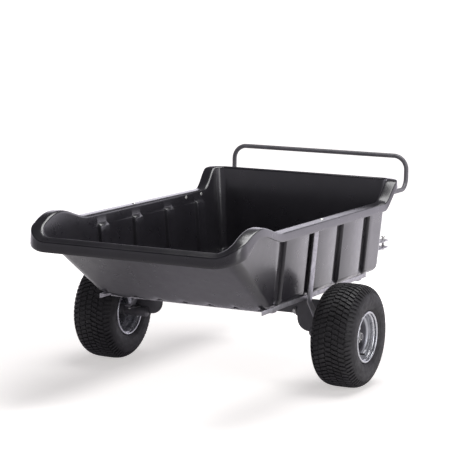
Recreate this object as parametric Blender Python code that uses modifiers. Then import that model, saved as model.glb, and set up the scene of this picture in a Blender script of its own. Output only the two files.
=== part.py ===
"""Tipping trailer for an all-terrain vehicle: moulded tub on a pivoting axle frame.

Metres, +Z up, +Y towards the towing vehicle, X across. The world origin is on
the ground under the middle of the trailer. Pieces are drawn in the axle frame,
whose origin is on the ground under the wheel axle, and one empty moves that
frame to its place.
"""
import math

import bmesh
import bpy
from mathutils import Matrix, Vector

# Clearances
FACE_GAP = 0.0003
HOLE_CLEARANCE = 0.0006
RUNNING_GAP = 0.0005
BESIDE_GAP = 0.001

# Tub plan and section, inside faces
TUB_WALL = 0.005
TUB_FLOOR_Z = 0.395
TUB_LIP_Z = 0.695
TUB_SIDE_Z = 0.736
TUB_HORN_Z = 0.781
TUB_FRONT_Z = 0.835
TUB_HALF_WIDTH = 0.4161
TUB_SIDE_DRAFT = math.radians(5.0)
TUB_FRONT_Y = 0.760
TUB_FRONT_DRAFT = math.radians(1.75)
TUB_REAR_Y = -0.4366
TUB_REAR_SLOPE = math.radians(34.3)
TUB_LIP_Y = TUB_REAR_Y - (TUB_LIP_Z - TUB_FLOOR_Z) / math.tan(TUB_REAR_SLOPE)
HORN_Y = -0.700
HORN_FALL = 0.036
DIP_Y = -0.475
STEP_START_Y = 0.618
STEP_END_Y = 0.760
RIM_CORNER_REAR = 0.050
RIM_CORNER_FRONT = 0.040
FRONT_FILLET = 0.045
FLOOR_INSET = 0.024
FLOOR_STRIP = 0.0216
HALF_TROUGHS = 3
SCALLOP_DEPTH = 0.020
SCALLOP_STEPS = 4
SCALLOP_POWER = 2.2
CHANNEL_Y = (-0.368, -0.064, 0.237, 0.543)
CHANNEL_WIDTH = 0.082
CHANNEL_FLAT = 0.070
CHANNEL_DEPTH = 0.016
FLANGE_SIDE = 0.057
FLANGE_FRONT = 0.036
FLANGE_REAR = 0.048
FLANGE_REAR_FALL = 0.012
SKIRT_FLARE = 1.04
SKIRT_SIDE = 0.038
SKIRT_FRONT = 0.030
SKIRT_REAR = 0.047
SKIRT_HORN = 0.068
SKIRT_HORN_RUN = 0.120

# The axle line
HITCH_REACH = 1.880
LIP_REACH = FLANGE_REAR * SKIRT_FLARE - TUB_LIP_Y
AXLE_Y = (LIP_REACH - HITCH_REACH) / 2

# Wheels, with places across the wheel measured outwards from its middle
TYRE_DIAMETER = 0.457
WHEEL_BESIDE_TUB = 0.0689
WHEEL_Z = TYRE_DIAMETER / 2
WHEEL_STEPS = 28
TYRE_HALF_WIDTH = 0.1025
TYRE_BULGE_RADIUS = 0.162
TYRE_SIDE_WALL = 0.009
TREAD_HALF_WIDTH = 0.079
TREAD_THICKNESS = 0.014
SHOULDER_FALL = 0.012
CROWN_HALF_WIDTH = 0.045
CROWN_FALL = 0.002
BEAD_OUTER_X = 0.0758
BEAD_INNER_X = 0.0660
BEAD_HEIGHT = 0.011
BEAD_LEAN = 0.0027
QUARTER_STEPS = 3
RIM_HALF_WIDTH = 0.0925
RIM_SEAT_RADIUS = 0.1015
RIM_SEAT_END = 0.0765
RIM_SHEET = 0.003
RIM_FLANGE = 0.013
RIM_FLANGE_ROLL = 0.010
RIM_FLANGE_CURL = 0.0025
WELL_HALF_WIDTH = 0.030
WELL_DEPTH = 0.0125
WELL_RAMP = 0.015
DISC_FACE = 0.0525
DISC_ROOT = 0.003
RECESS_FACE = 0.035
RECESS_RADIUS = 0.060
RECESS_DRAFT = 0.003

# Axle
SPINDLE_DIAMETER = 0.025
SPINDLE_TAIL = 0.004
STUB_DIAMETER = 0.045
STUB_IN_HANGER = 0.073
HUB_RADIUS = 0.025
HUB_WALL = 0.004
HUB_INNER = -0.0677
HUB_OUTER = 0.047
AXLE_NUT_ACROSS = 0.030
AXLE_NUT_THICKNESS = 0.012
AXLE_FLANGE_RADIUS = 0.0185
NUT_FLANGE = 0.003

# Steel under the tub
RAIL_BESIDE_BOLT = 0.0167
RAIL_HEIGHT = 0.020
RAIL_WIDTH = 0.026
RAIL_THICKNESS = 0.004
RAIL_START_Y = -0.460
RAIL_END_Y = 0.665
CROSS_BAR_WIDTH = 0.040
CROSS_BAR_THICKNESS = 0.006
CROSS_BAR_REAR_Y = -0.340
CROSS_BAR_FRONT_Y = 0.590
FLOOR_BOLT_Y = (-0.300, 0.400)
HANGER_INNER_X = 0.343
HANGER_BESIDE_RIM = 0.0155
HANGER_BOTTOM_Z = 0.222
HANGER_CORNER = 0.057
HANGER_Y = 0.012
HANGER_THICKNESS = 0.006
PIVOT_PLATE_END_Y = 0.070
PIVOT_PLATE_BOTTOM_Z = 0.285
BEAM_SIZE = 0.034
BEAM_WALL = 0.003
BEAM_ABOVE_LUG = 0.0025

# Tipping pivot
PIVOT_Y = 0.035
PIVOT_Z = 0.305
PIVOT_BOLT_DIAMETER = 0.016
PIVOT_BOLT_ACROSS = 0.027
PIVOT_BOLT_HEAD = 0.010
PIVOT_BOLT_TAIL = 0.005
PIVOT_NUT_THICKNESS = 0.013
PIVOT_FLANGE_RADIUS = 0.018
LUG_THICKNESS = 0.010
LUG_RADIUS = 0.022

# Drawbar
CROSS_TUBE_SIZE = 0.040
CROSS_TUBE_Y = 0.080
DRAWBAR_WIDTH = 0.050
DRAWBAR_HEIGHT = 0.030
TUBE_WALL = 0.003
DRAWBAR_START_Y = 0.058
BRACE_RADIUS = 0.014
BRACE_REAR_X = 0.280
BRACE_REAR_RUN = 0.050
BRACE_FRONT_Y = 0.740
BRACE_FRONT_RUN = 0.100
BRACE_BEND = 0.060
BUFFER_RADIUS = 0.016

# Hitch
STRAP_WIDTH = 0.050
STRAP_THICKNESS = 0.006
HITCH_PIN_DIAMETER = 0.016
HITCH_PIN_BACK = 0.028
FORK_DEPTH = 0.112
STRAP_ON_DRAWBAR = 0.100
HITCH_PIN_Y = HITCH_REACH - HITCH_PIN_BACK
DRAWBAR_END_Y = HITCH_PIN_Y - FORK_DEPTH
STRAP_START_Y = DRAWBAR_END_Y - STRAP_ON_DRAWBAR
HITCH_PIN_TAIL = 0.014
HITCH_PIN_TAPER = 0.005
HITCH_PIN_COLLAR = 0.014
HITCH_PIN_COLLAR_THICKNESS = 0.004
HITCH_PIN_NECK = 0.0064
HITCH_PIN_NECK_HEIGHT = 0.007
HITCH_PIN_KNOB = 0.012
HITCH_PIN_KNOB_HEIGHT = 0.009
HITCH_PIN_ROUND = 0.0024
HITCH_BOLT_INSET = 0.025
HITCH_BOLT_PITCH = 0.045
HITCH_BOLT_Y = (STRAP_START_Y + HITCH_BOLT_INSET, STRAP_START_Y + HITCH_BOLT_INSET + HITCH_BOLT_PITCH)

# Parking stand
STAND_Y = 1.350
STAND_PIVOT_Z = 0.285
STAND_TUBE_RADIUS = 0.0125
STAND_FOOT_RADIUS = 0.032
STAND_FOOT_THICKNESS = 0.006
STAND_LEG_ABOVE = 0.016
STAND_BRACKET_SHEET = 0.005
STAND_BRACKET_HALF = 0.018

# Struts from the rim to the axle
STRUT_Y = -0.035
STRUT_WIDTH = 0.045
STRUT_THICKNESS = 0.005
STRUT_BESIDE_RIM = 0.0025
STRUT_FOOT = 0.028
STRUT_FOOT_INSET = 0.012
STRUT_BEND = 0.008
STRUT_KNEE_Z = 0.367
STRUT_RIM_BOLT_OUT = 0.0208
STRUT_RIM_TAB = 0.011
FLANGE_SAG = 0.0035
SADDLE_THICKNESS = 0.006
SADDLE_WIDTH = 0.048

# Push handle
HANDLE_RADIUS = 0.011
HANDLE_Y = 0.975
HANDLE_TOP_Z = 0.921
HANDLE_TOP_BEND = 0.065
HANDLE_LOW_BEND = 0.055
HANDLE_LEG_Z = 0.765
HANDLE_TAIL_Z = 0.7165
HANDLE_TAIL_START_Y = 0.385
HANDLE_TAIL_BEND_Y = 0.652
HANDLE_LEG_BEND_Y = 0.730
HANDLE_BOLT_Y = (0.420, 0.575)

# Small bolts
BOLT_RADIUS = 0.004
BOLT_ACROSS = 0.013
BOLT_NUT = 0.007
BOLT_TAIL = 0.002
BOLT_DOME = 0.0035
BOLT_DOME_RADIUS = 0.0095
BOLT_SIDES = 12
BOLT_TIP = 0.001
HOLE_SIDES = 16

STEEL = ((0.33, 0.33, 0.34), 0.42, 0.85)
DARK_STEEL = ((0.085, 0.085, 0.09), 0.45, 0.3)
ZINC = ((0.62, 0.62, 0.60), 0.3, 1.0)
RIM_PAINT = ((0.42, 0.43, 0.45), 0.35, 0.6)
RUBBER = ((0.02, 0.02, 0.021), 0.8, 0.0)
PLASTIC = ((0.012, 0.012, 0.013), 0.35, 0.0)

RIGHT = 1
LEFT = -1


# Scene and joint frames


def clear_scene():
    for old in list(bpy.data.objects):
        bpy.data.objects.remove(old)


def new_collection(name):
    made = bpy.data.collections.new(name)
    bpy.context.scene.collection.children.link(made)
    return made


clear_scene()
PARTS = new_collection("atv_tipping_trailer")
CUTTERS = new_collection("cutters")


def new_empty(name, parent, offset):
    empty = bpy.data.objects.new(name, None)
    empty.empty_display_size = 0.05
    empty.location = offset
    empty.parent = parent
    PARTS.objects.link(empty)
    return empty


FRAME = new_empty("axle_frame", None, (0, AXLE_Y, 0))


class Axis:
    """An empty on a joint's axis, which carries the pieces that move about it."""

    def __init__(self, name, point, carrier=None):
        self.point = Vector(point)
        offset = self.point - carrier.point if carrier else self.point
        self.empty = new_empty(name, carrier.empty if carrier else FRAME, offset)

    def carry(self, pieces):
        for piece in pieces:
            piece.parent = self.empty
            piece.matrix_parent_inverse = Matrix.Translation(-self.point)


# Materials and meshes


def set_look(piece, look):
    """A material of the piece's own, from a colour, a roughness and a metallic value."""
    color, roughness, metallic = look
    material = bpy.data.materials.new(piece.name)
    material.use_nodes = True
    shader = material.node_tree.nodes["Principled BSDF"]
    shader.inputs["Base Color"].default_value = (*color, 1.0)
    shader.inputs["Roughness"].default_value = roughness
    shader.inputs["Metallic"].default_value = metallic
    material.diffuse_color = (*color, 1.0)
    piece.data.materials.clear()
    piece.data.materials.append(material)


def add_piece(name, data, look, smooth=False):
    piece = bpy.data.objects.new(name, data)
    PARTS.objects.link(piece)
    piece.parent = FRAME
    set_look(piece, look)
    if smooth:
        data.shade_smooth()
        data.set_sharp_from_angle(angle=math.radians(35))
    return piece


def filled_mesh(name, fill):
    """A mesh filled by a function that works on a bmesh."""
    working = bmesh.new()
    fill(working)
    data = bpy.data.meshes.new(name)
    working.to_mesh(data)
    working.free()
    return data


def evaluated_mesh(piece, turn):
    """The piece's mesh as its modifiers leave it, welded and taken through a matrix."""
    bpy.context.view_layer.update()
    evaluated = piece.evaluated_get(bpy.context.evaluated_depsgraph_get())
    data = bpy.data.meshes.new_from_object(evaluated)
    working = bmesh.new()
    working.from_mesh(data)
    bmesh.ops.remove_doubles(working, verts=working.verts, dist=0.00001)
    working.transform(turn @ piece.matrix_basis)
    if turn.determinant() < 0:
        bmesh.ops.reverse_faces(working, faces=working.faces)
    working.to_mesh(data)
    working.free()
    return data


def as_mesh(piece):
    """A curve piece made a mesh piece of the same name, so that it can be cut."""
    data = evaluated_mesh(piece, Matrix.Identity(4))
    name = piece.name
    bpy.data.objects.remove(piece)
    made = bpy.data.objects.new(name, data)
    PARTS.objects.link(made)
    made.parent = FRAME
    return made


def both_sides(right, stem):
    """Names a right-hand piece, and makes the left-hand piece from its mirror image."""
    right.name = stem + "_right"
    data = evaluated_mesh(right, Matrix.Scale(-1, 4, (1, 0, 0)))
    left = bpy.data.objects.new(stem + "_left", data)
    PARTS.objects.link(left)
    left.parent = FRAME
    material = data.materials[0].copy()
    material.name = left.name
    data.materials.clear()
    data.materials.append(material)
    return [right, left]


def cut_holes(piece, holes):
    """Round holes, each (radius, low, high, centre, axis), cut by one Boolean."""

    def fill(working):
        for radius, low, high, centre, axis in holes:
            put_cylinder(working, radius, low, high, centre, axis, HOLE_SIDES)

    cutting = bpy.data.objects.new(piece.name + "_holes", filled_mesh(piece.name + "_holes", fill))
    cutting.hide_render = True
    cutting.display_type = "WIRE"
    cutting.parent = FRAME
    CUTTERS.objects.link(cutting)
    step = piece.modifiers.new("holes", "BOOLEAN")
    step.operation = "DIFFERENCE"
    step.solver = "EXACT"
    step.object = cutting
    return piece


# Shapes


def axis_turn(axis):
    """The rotation that takes +Z onto an axis named x, y or z."""
    if axis == "x":
        return Matrix.Rotation(math.radians(90), 4, "Y")
    if axis == "y":
        return Matrix.Rotation(math.radians(-90), 4, "X")
    return Matrix.Identity(4)


def put_cylinder(working, radius, low, high, centre, axis, sides):
    """A closed cylinder along an axis, from low to high on that axis."""
    point = Vector(centre)
    point["xyz".index(axis)] = (low + high) / 2
    place = Matrix.Translation(point) @ axis_turn(axis)
    bmesh.ops.create_cone(working, cap_ends=True, segments=sides, radius1=radius, radius2=radius,
                          depth=high - low, matrix=place)


def ring_points(size, shape, place, height):
    """Twelve points round an axis: a round section by radius, a hexagon by its flats."""
    points = []
    for index in range(BOLT_SIDES):
        reach = size
        if shape == "hex":
            reach = size / 2 if index % 2 else size / math.sqrt(3)
        angle = 2 * math.pi * index / BOLT_SIDES
        points.append(place @ Vector((reach * math.cos(angle), reach * math.sin(angle), height)))
    return points


def join_rings(working, first, second):
    """Quads between two rings of vertices; returns the faces."""
    faces = []
    for index in range(BOLT_SIDES):
        after = (index + 1) % BOLT_SIDES
        faces.append(working.faces.new((first[index], first[after], second[after], second[index])))
    return faces


def put_bolt(working, sections, centre, axis, direction=RIGHT):
    """A fastener as one closed solid, lofted through (height, size, shape) sections."""
    place = Matrix.Translation(centre) @ axis_turn(axis) @ Matrix.Diagonal((1, 1, direction, 1))
    rings = []
    for height, size, shape in sections:
        rings.append([working.verts.new(point) for point in ring_points(size, shape, place, height)])
    faces = [working.faces.new(rings[0][::-1]), working.faces.new(rings[-1])]
    for lower, upper in zip(rings, rings[1:]):
        faces += join_rings(working, lower, upper)
    if direction < 0:
        bmesh.ops.reverse_faces(working, faces=faces)


def put_nut(working, sections, bore, centre, axis):
    """A nut or flanged nut as one closed solid: outside sections round a plain bore."""
    place = Matrix.Translation(centre) @ axis_turn(axis)
    low = sections[0][0]
    high = sections[-1][0]
    rings = []
    for height, size, shape in (*sections, (high, bore, "round"), (low, bore, "round")):
        rings.append([working.verts.new(point) for point in ring_points(size, shape, place, height)])
    for ring, following in zip(rings, rings[1:] + rings[:1]):
        join_rings(working, ring, following)


def small_bolt(grip):
    """Sections of a dome-headed bolt with its nut, whose head rests at 0 and whose grip hangs below."""
    nut_high = -grip - FACE_GAP
    nut_low = nut_high - BOLT_NUT
    return (
        (nut_low - BOLT_TAIL, BOLT_RADIUS, "round"),
        (nut_low, BOLT_RADIUS, "round"),
        (nut_low, BOLT_ACROSS, "hex"),
        (nut_high, BOLT_ACROSS, "hex"),
        (nut_high, BOLT_RADIUS, "round"),
        (0, BOLT_RADIUS, "round"),
        (0, BOLT_DOME_RADIUS, "round"),
        (BOLT_DOME, BOLT_DOME_RADIUS * 0.6, "round"),
    )


def fastener(name, fill):
    return add_piece(name, filled_mesh(name, fill), ZINC, smooth=True)


def bolt(name, sections, centre, axis, direction=RIGHT):
    """One bolt as a piece of its own."""
    return fastener(name, lambda working: put_bolt(working, sections, centre, axis, direction))


def box(name, low, high, look):
    size = Vector(high) - Vector(low)
    centre = (Vector(high) + Vector(low)) / 2
    place = Matrix.Translation(centre) @ Matrix.Diagonal((*size, 1.0))

    def fill(working):
        bmesh.ops.create_cube(working, size=1.0, matrix=place)

    return add_piece(name, filled_mesh(name, fill), look)


def plate(name, outlines, thickness, plane, offset, look):
    """A flat outline, with the outlines of its holes, extruded to a thickness.

    Plane xz stands across the trailer and offset is the y of its middle, plane
    yz stands along it and offset is an x, and plane xy lies flat at a z.
    """
    curve = bpy.data.curves.new(name, "CURVE")
    curve.dimensions = "2D"
    curve.fill_mode = "BOTH"
    curve.extrude = thickness / 2
    for outline in outlines:
        spline = curve.splines.new("POLY")
        spline.points.add(len(outline) - 1)
        for point, (across, up) in zip(spline.points, outline):
            point.co = (across, up, 0, 1)
        spline.use_cyclic_u = True
    piece = add_piece(name, curve, look)
    upright = Matrix.Rotation(math.radians(90), 4, "X")
    if plane == "xz":
        piece.matrix_basis = Matrix.Translation((0, offset, 0)) @ upright
    elif plane == "yz":
        along = Matrix.Rotation(math.radians(90), 4, "Z")
        piece.matrix_basis = Matrix.Translation((offset, 0, 0)) @ along @ upright
    else:
        piece.matrix_basis = Matrix.Translation((0, 0, offset))
    return piece


def arc(centre, radius, start, end, steps):
    """Points of an arc in a plane, with angles in degrees."""
    points = []
    for step in range(steps + 1):
        angle = math.radians(start + (end - start) * step / steps)
        points.append((centre[0] + radius * math.cos(angle), centre[1] + radius * math.sin(angle)))
    return points


def circle(centre, radius, steps=HOLE_SIDES):
    return arc(centre, radius, 0, 360, steps)[:-1]


def rectangle(low, high, corner=0.0):
    """A rectangle in a plane, with rounded corners where a radius is given."""
    if not corner:
        return [(low[0], low[1]), (high[0], low[1]), (high[0], high[1]), (low[0], high[1])]
    points = arc((low[0] + corner, low[1] + corner), corner, 180, 270, 3)
    points += arc((high[0] - corner, low[1] + corner), corner, 270, 360, 3)
    points += arc((high[0] - corner, high[1] - corner), corner, 0, 90, 3)
    points += arc((low[0] + corner, high[1] - corner), corner, 90, 180, 3)
    return points


def square_tube(name, low, high, wall, plane, ends, look):
    """A hollow section whose outline lies in a plane, from end to end square to it."""
    inner_low = (low[0] + wall, low[1] + wall)
    inner_high = (high[0] - wall, high[1] - wall)
    outlines = [rectangle(low, high, 1.5 * wall), rectangle(inner_low, inner_high)]
    return plate(name, outlines, ends[1] - ends[0], plane, (ends[0] + ends[1]) / 2, look)


def strip_outline(centre_line, thickness):
    """The outline of a flat bar bent along a centre line, with mitred bends."""
    points = [Vector(point) for point in centre_line]
    normals = []
    for before, after in zip(points, points[1:]):
        run = (after - before).normalized()
        normals.append(Vector((-run.y, run.x)))
    offsets = [normals[0]]
    for first, second in zip(normals, normals[1:]):
        middle = (first + second).normalized()
        offsets.append(middle / middle.dot(first))
    offsets.append(normals[-1])
    half = thickness / 2
    left = [tuple(point + offset * half) for point, offset in zip(points, offsets)]
    right = [tuple(point - offset * half) for point, offset in zip(points, offsets)]
    return left + right[::-1]


def rounded_path(corners, radii, steps=5):
    """Straight runs between corners, each corner rounded by an arc of its own radius."""
    corners = [Vector(corner) for corner in corners]
    path = [corners[0]]
    for before, corner, after, radius in zip(corners, corners[1:], corners[2:], radii):
        back = (before - corner).normalized()
        ahead = (after - corner).normalized()
        half = back.angle(ahead) / 2
        reach = radius / math.tan(half)
        centre = corner + (back + ahead).normalized() * (radius / math.sin(half))
        first = (corner + back * reach - centre).normalized()
        last = (corner + ahead * reach - centre).normalized()
        for step in range(steps + 1):
            path.append(centre + first.slerp(last, step / steps) * radius)
    path.append(corners[-1])
    return path


def round_tube(name, path, radius, look, resolution=3):
    """A round bar along a path, with filled ends."""
    curve = bpy.data.curves.new(name, "CURVE")
    curve.dimensions = "3D"
    curve.bevel_depth = radius
    curve.bevel_resolution = resolution
    curve.use_fill_caps = True
    spline = curve.splines.new("POLY")
    spline.points.add(len(path) - 1)
    for point, place in zip(spline.points, path):
        point.co = (*place, 1)
    return add_piece(name, curve, look)


def turned(name, profile, look, steps=WHEEL_STEPS):
    """A closed profile of (x, radius) points from the right wheel's middle, turned about its axle.

    The profile runs from +x to -x along its outer side, and back along its inner side.
    """
    data = bpy.data.meshes.new(name)
    points = [(radius, 0, across) for across, radius in profile]
    edges = [(index, (index + 1) % len(points)) for index in range(len(points))]
    data.from_pydata(points, edges, [])
    piece = add_piece(name, data, look)
    spin = piece.modifiers.new("turned", "SCREW")
    spin.axis = "Z"
    spin.steps = steps
    spin.render_steps = steps
    spin.use_merge_vertices = True
    spin.merge_threshold = 0.0001
    spin.use_smooth_shade = True
    piece.matrix_basis = Matrix.Translation((WHEEL_X, 0, WHEEL_Z)) @ axis_turn("x")
    return piece


# The tub: a loft from the floor up to the rim, over it and down the skirt


def half_width(z):
    return TUB_HALF_WIDTH + (z - TUB_FLOOR_Z) * math.tan(TUB_SIDE_DRAFT)


def wall_outer_x(z):
    return half_width(z) + TUB_WALL / math.cos(TUB_SIDE_DRAFT)


WHEEL_X = wall_outer_x(TYRE_DIAMETER) + WHEEL_BESIDE_TUB + TYRE_HALF_WIDTH
RIM_INNER_X = WHEEL_X - RIM_HALF_WIDTH


def front_y(z):
    return TUB_FRONT_Y + (z - TUB_FLOOR_Z) * math.tan(TUB_FRONT_DRAFT)


def front_inset(z):
    """How far the curve from the floor up into the front wall stands in at a height."""
    below = max(TUB_FLOOR_Z + FRONT_FILLET - z, 0.0)
    return FRONT_FILLET - math.sqrt(FRONT_FILLET**2 - below**2)


def rear_y(z):
    return TUB_REAR_Y - (min(z, TUB_LIP_Z) - TUB_FLOOR_Z) / math.tan(TUB_REAR_SLOPE)


SIDE_START_Y = rear_y(TUB_LIP_Z) + RIM_CORNER_REAR
SIDE_END_Y = front_y(TUB_FRONT_Z) - RIM_CORNER_FRONT
SCALLOP_EDGE_X = half_width(TUB_FLOOR_Z) - FLOOR_INSET - FLOOR_STRIP
SCALLOP_PITCH = SCALLOP_EDGE_X / HALF_TROUGHS


def ease(share):
    return 0.5 - 0.5 * math.cos(math.pi * min(max(share, 0.0), 1.0))


def rim_height(y):
    """Height of the rim along a side: horn, dip, straight run and step up to the front."""
    if y < HORN_Y:
        back = (HORN_Y - y) / (HORN_Y - SIDE_START_Y)
        return TUB_HORN_Z - HORN_FALL * back * back
    if y < DIP_Y:
        return TUB_HORN_Z + (TUB_SIDE_Z - TUB_HORN_Z) * ease((y - HORN_Y) / (DIP_Y - HORN_Y))
    share = (y - STEP_START_Y) / (STEP_END_Y - STEP_START_Y)
    return TUB_SIDE_Z + (TUB_FRONT_Z - TUB_SIDE_Z) * ease(share)


def corner_height(share):
    """Height of the rim round the rear corner: level at the lip, in line with the horn at the side."""
    end = TUB_HORN_Z - HORN_FALL
    end_slope = 2 * HORN_FALL / (HORN_Y - SIDE_START_Y) * RIM_CORNER_REAR * math.pi / 2
    start_part = TUB_LIP_Z * (2 * share**3 - 3 * share**2 + 1)
    end_part = end * (3 * share**2 - 2 * share**3) + end_slope * (share**3 - share**2)
    return start_part + end_part


def scallop(x):
    """Depth of the floor under its ridges, in troughs that run along the trailer."""
    across = x / SCALLOP_PITCH
    off_middle = 2 * abs(across - math.floor(across) - 0.5)
    return SCALLOP_DEPTH * (1 - off_middle**SCALLOP_POWER)


class WallRing:
    """A ring of the wall at a height, which may differ between the sides and the rear."""

    def __init__(self, side_z, rear_z, inset, rear_corner, front_corner, channel, scallops):
        self.side_z = side_z
        self.rear_z = rear_z
        self.inset = inset
        self.rear_corner = rear_corner
        self.front_corner = front_corner
        self.channel = channel
        self.scallops = scallops


class RimRing:
    """A ring of the rim: how far under the rim's top, out over the flange, and down the skirt."""

    def __init__(self, drop, edge=0.0, flange=0.0, skirt=0.0):
        self.drop = drop
        self.edge = edge
        self.flange = flange
        self.skirt = skirt


WALL_RINGS = (
    WallRing(TUB_FLOOR_Z, TUB_FLOOR_Z, FLOOR_INSET, 0.020, 0.020, 0.0, 1.0),
    WallRing(TUB_FLOOR_Z + 0.007, TUB_FLOOR_Z + 0.006, 0.007, 0.030, 0.028, 0.0, 0.95),
    WallRing(TUB_FLOOR_Z + 0.024, TUB_FLOOR_Z + 0.020, 0.0, 0.040, 0.034, 1.0, 0.7),
    WallRing(TUB_FLOOR_Z + 0.056, TUB_FLOOR_Z + 0.055, 0.0, 0.042, 0.036, 1.0, 0.2),
    WallRing(TUB_SIDE_Z - 0.060, TUB_LIP_Z - 0.105, 0.0, 0.048, 0.040, 1.0, 0.0),
    WallRing(TUB_SIDE_Z - 0.038, TUB_LIP_Z - 0.065, 0.0, 0.050, 0.040, 0.0, 0.0),
)
RIM_RINGS = (
    RimRing(0.012),
    RimRing(0.0035, edge=0.0035),
    RimRing(0.0, edge=0.012),
    RimRing(0.002, flange=0.85),
    RimRing(0.008, flange=1.0),
    RimRing(0.008, flange=SKIRT_FLARE, skirt=1.0),
)

SCALLOP_COLUMNS = [SCALLOP_PITCH * step / SCALLOP_STEPS for step in range(HALF_TROUGHS * SCALLOP_STEPS + 1)]
HORN_STEPS = 7
STEP_STEPS = 4
REAR_CORNER_STEPS = 4
FRONT_CORNER_STEPS = 5
SQUEEZE = 0.016


def side_places():
    """The y of each section along the side, at the rim."""
    horn_end = CHANNEL_Y[0] - CHANNEL_WIDTH
    horn = horn_end - SIDE_START_Y
    places = [SIDE_START_Y + horn * step / HORN_STEPS for step in range(1, HORN_STEPS + 1)]
    for middle in CHANNEL_Y:
        places += [middle - CHANNEL_WIDTH / 2, middle - CHANNEL_FLAT / 2,
                   middle + CHANNEL_FLAT / 2, middle + CHANNEL_WIDTH / 2]
    step_up = SIDE_END_Y - STEP_START_Y
    places += [STEP_START_Y + step_up * step / STEP_STEPS for step in range(STEP_STEPS)]
    return places


def outline_stations():
    """The half outline, from the middle of the lip round to the middle of the front."""
    stations = [("rear", x) for x in SCALLOP_COLUMNS]
    stations += [("rear_corner", step / REAR_CORNER_STEPS) for step in range(REAR_CORNER_STEPS + 1)]
    stations += [("side", y) for y in side_places()]
    stations += [("front_corner", step / FRONT_CORNER_STEPS) for step in range(FRONT_CORNER_STEPS + 1)]
    stations += [("front", x) for x in reversed(SCALLOP_COLUMNS)]
    return stations


def in_channel(y):
    """Whether a section lies on the flat bottom of one of the side channels."""
    return any(abs(y - middle) < (CHANNEL_WIDTH + CHANNEL_FLAT) / 4 for middle in CHANNEL_Y)


def drawn_in(y, start, end):
    """The side's end sections, drawn in where the sloping rear or the front's curve shortens the side."""
    first = max(start + SQUEEZE, CHANNEL_Y[0] - CHANNEL_WIDTH / 2)
    last = CHANNEL_Y[-1] + CHANNEL_WIDTH / 2
    if y < first:
        return start + (first - start) * (y - SIDE_START_Y) / (first - SIDE_START_Y)
    if y > last:
        return last + (end - last) * (y - last) / (SIDE_END_Y - last)
    return y


def wall_point(kind, value, ring):
    """Where a ring of the wall crosses a station of the outline."""
    if kind == "rear":
        z = ring.rear_z - ring.scallops * scallop(value)
        return (value, rear_y(z) + ring.inset, z)
    if kind == "front":
        front = front_y(ring.side_z) - front_inset(ring.side_z)
        return (value, front, ring.side_z - ring.scallops * scallop(value))
    if kind == "rear_corner":
        rearness = 1 - ease(value)
        z = ring.side_z + (ring.rear_z - ring.side_z) * rearness
        angle = (value - 1) * math.pi / 2
        x = half_width(z) - ring.inset - ring.rear_corner * (1 - math.cos(angle))
        y = rear_y(z) + ring.inset + ring.rear_corner * (1 + math.sin(angle))
        return (x, y, z)
    if kind == "front_corner":
        angle = value * math.pi / 2
        x = half_width(ring.side_z) - ring.inset - ring.front_corner * (1 - math.cos(angle))
        y = front_y(ring.side_z) - front_inset(ring.side_z) - ring.front_corner * (1 - math.sin(angle))
        return (x, y, ring.side_z)
    start = rear_y(ring.side_z) + ring.inset + ring.rear_corner
    end = front_y(ring.side_z) - front_inset(ring.side_z) - ring.front_corner
    groove = ring.channel * CHANNEL_DEPTH if in_channel(value) else 0.0
    return (half_width(ring.side_z) - ring.inset - groove, drawn_in(value, start, end), ring.side_z)


def rim_top(kind, value):
    """Height of the rim's top over a station of the outline."""
    if kind == "rear":
        return TUB_LIP_Z
    if kind == "rear_corner":
        return corner_height(value)
    if kind == "side":
        return rim_height(value)
    if kind == "front_corner":
        return rim_height(SIDE_END_Y + RIM_CORNER_FRONT * math.sin(value * math.pi / 2))
    return TUB_FRONT_Z


def skirt_height(kind, value):
    """Height of the skirt over a station of the outline: deepest under the horns."""
    if kind == "rear":
        return SKIRT_REAR
    if kind == "rear_corner":
        return SKIRT_REAR + (SKIRT_HORN - SKIRT_REAR) * ease(value)
    if kind == "side":
        return SKIRT_HORN + (SKIRT_SIDE - SKIRT_HORN) * ease((value - SIDE_START_Y) / SKIRT_HORN_RUN)
    if kind == "front_corner":
        return SKIRT_SIDE + (SKIRT_FRONT - SKIRT_SIDE) * ease(value)
    return SKIRT_FRONT


def rim_point(kind, value, ring):
    """Where a ring of the rim crosses a station of the outline."""
    rearness = {"rear": 1.0, "rear_corner": 1 - ease(value)}.get(kind, 0.0)
    top = rim_top(kind, value)
    fall = FLANGE_REAR_FALL * rearness if ring.flange else 0.0
    z = top - fall - ring.drop - ring.skirt * (skirt_height(kind, value) - ring.drop)
    wall_z = top if ring.edge or ring.flange else top - ring.drop
    side_out = ring.edge + ring.flange * FLANGE_SIDE
    rear_out = ring.edge + ring.flange * FLANGE_REAR
    front_out = ring.edge + ring.flange * FLANGE_FRONT
    if kind == "rear":
        return (value, rear_y(wall_z) - rear_out, z)
    if kind == "front":
        return (value, front_y(wall_z) + front_out, z)
    if kind == "rear_corner":
        angle = (value - 1) * math.pi / 2
        x = half_width(wall_z) - RIM_CORNER_REAR + (RIM_CORNER_REAR + side_out) * math.cos(angle)
        y = rear_y(wall_z) + RIM_CORNER_REAR + (RIM_CORNER_REAR + rear_out) * math.sin(angle)
        return (x, y, z)
    if kind == "front_corner":
        angle = value * math.pi / 2
        x = half_width(wall_z) - RIM_CORNER_FRONT + (RIM_CORNER_FRONT + side_out) * math.cos(angle)
        y = SIDE_END_Y + (RIM_CORNER_FRONT + front_out) * math.sin(angle)
        return (x, y, z)
    return (half_width(wall_z) + side_out, value, z)


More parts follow.
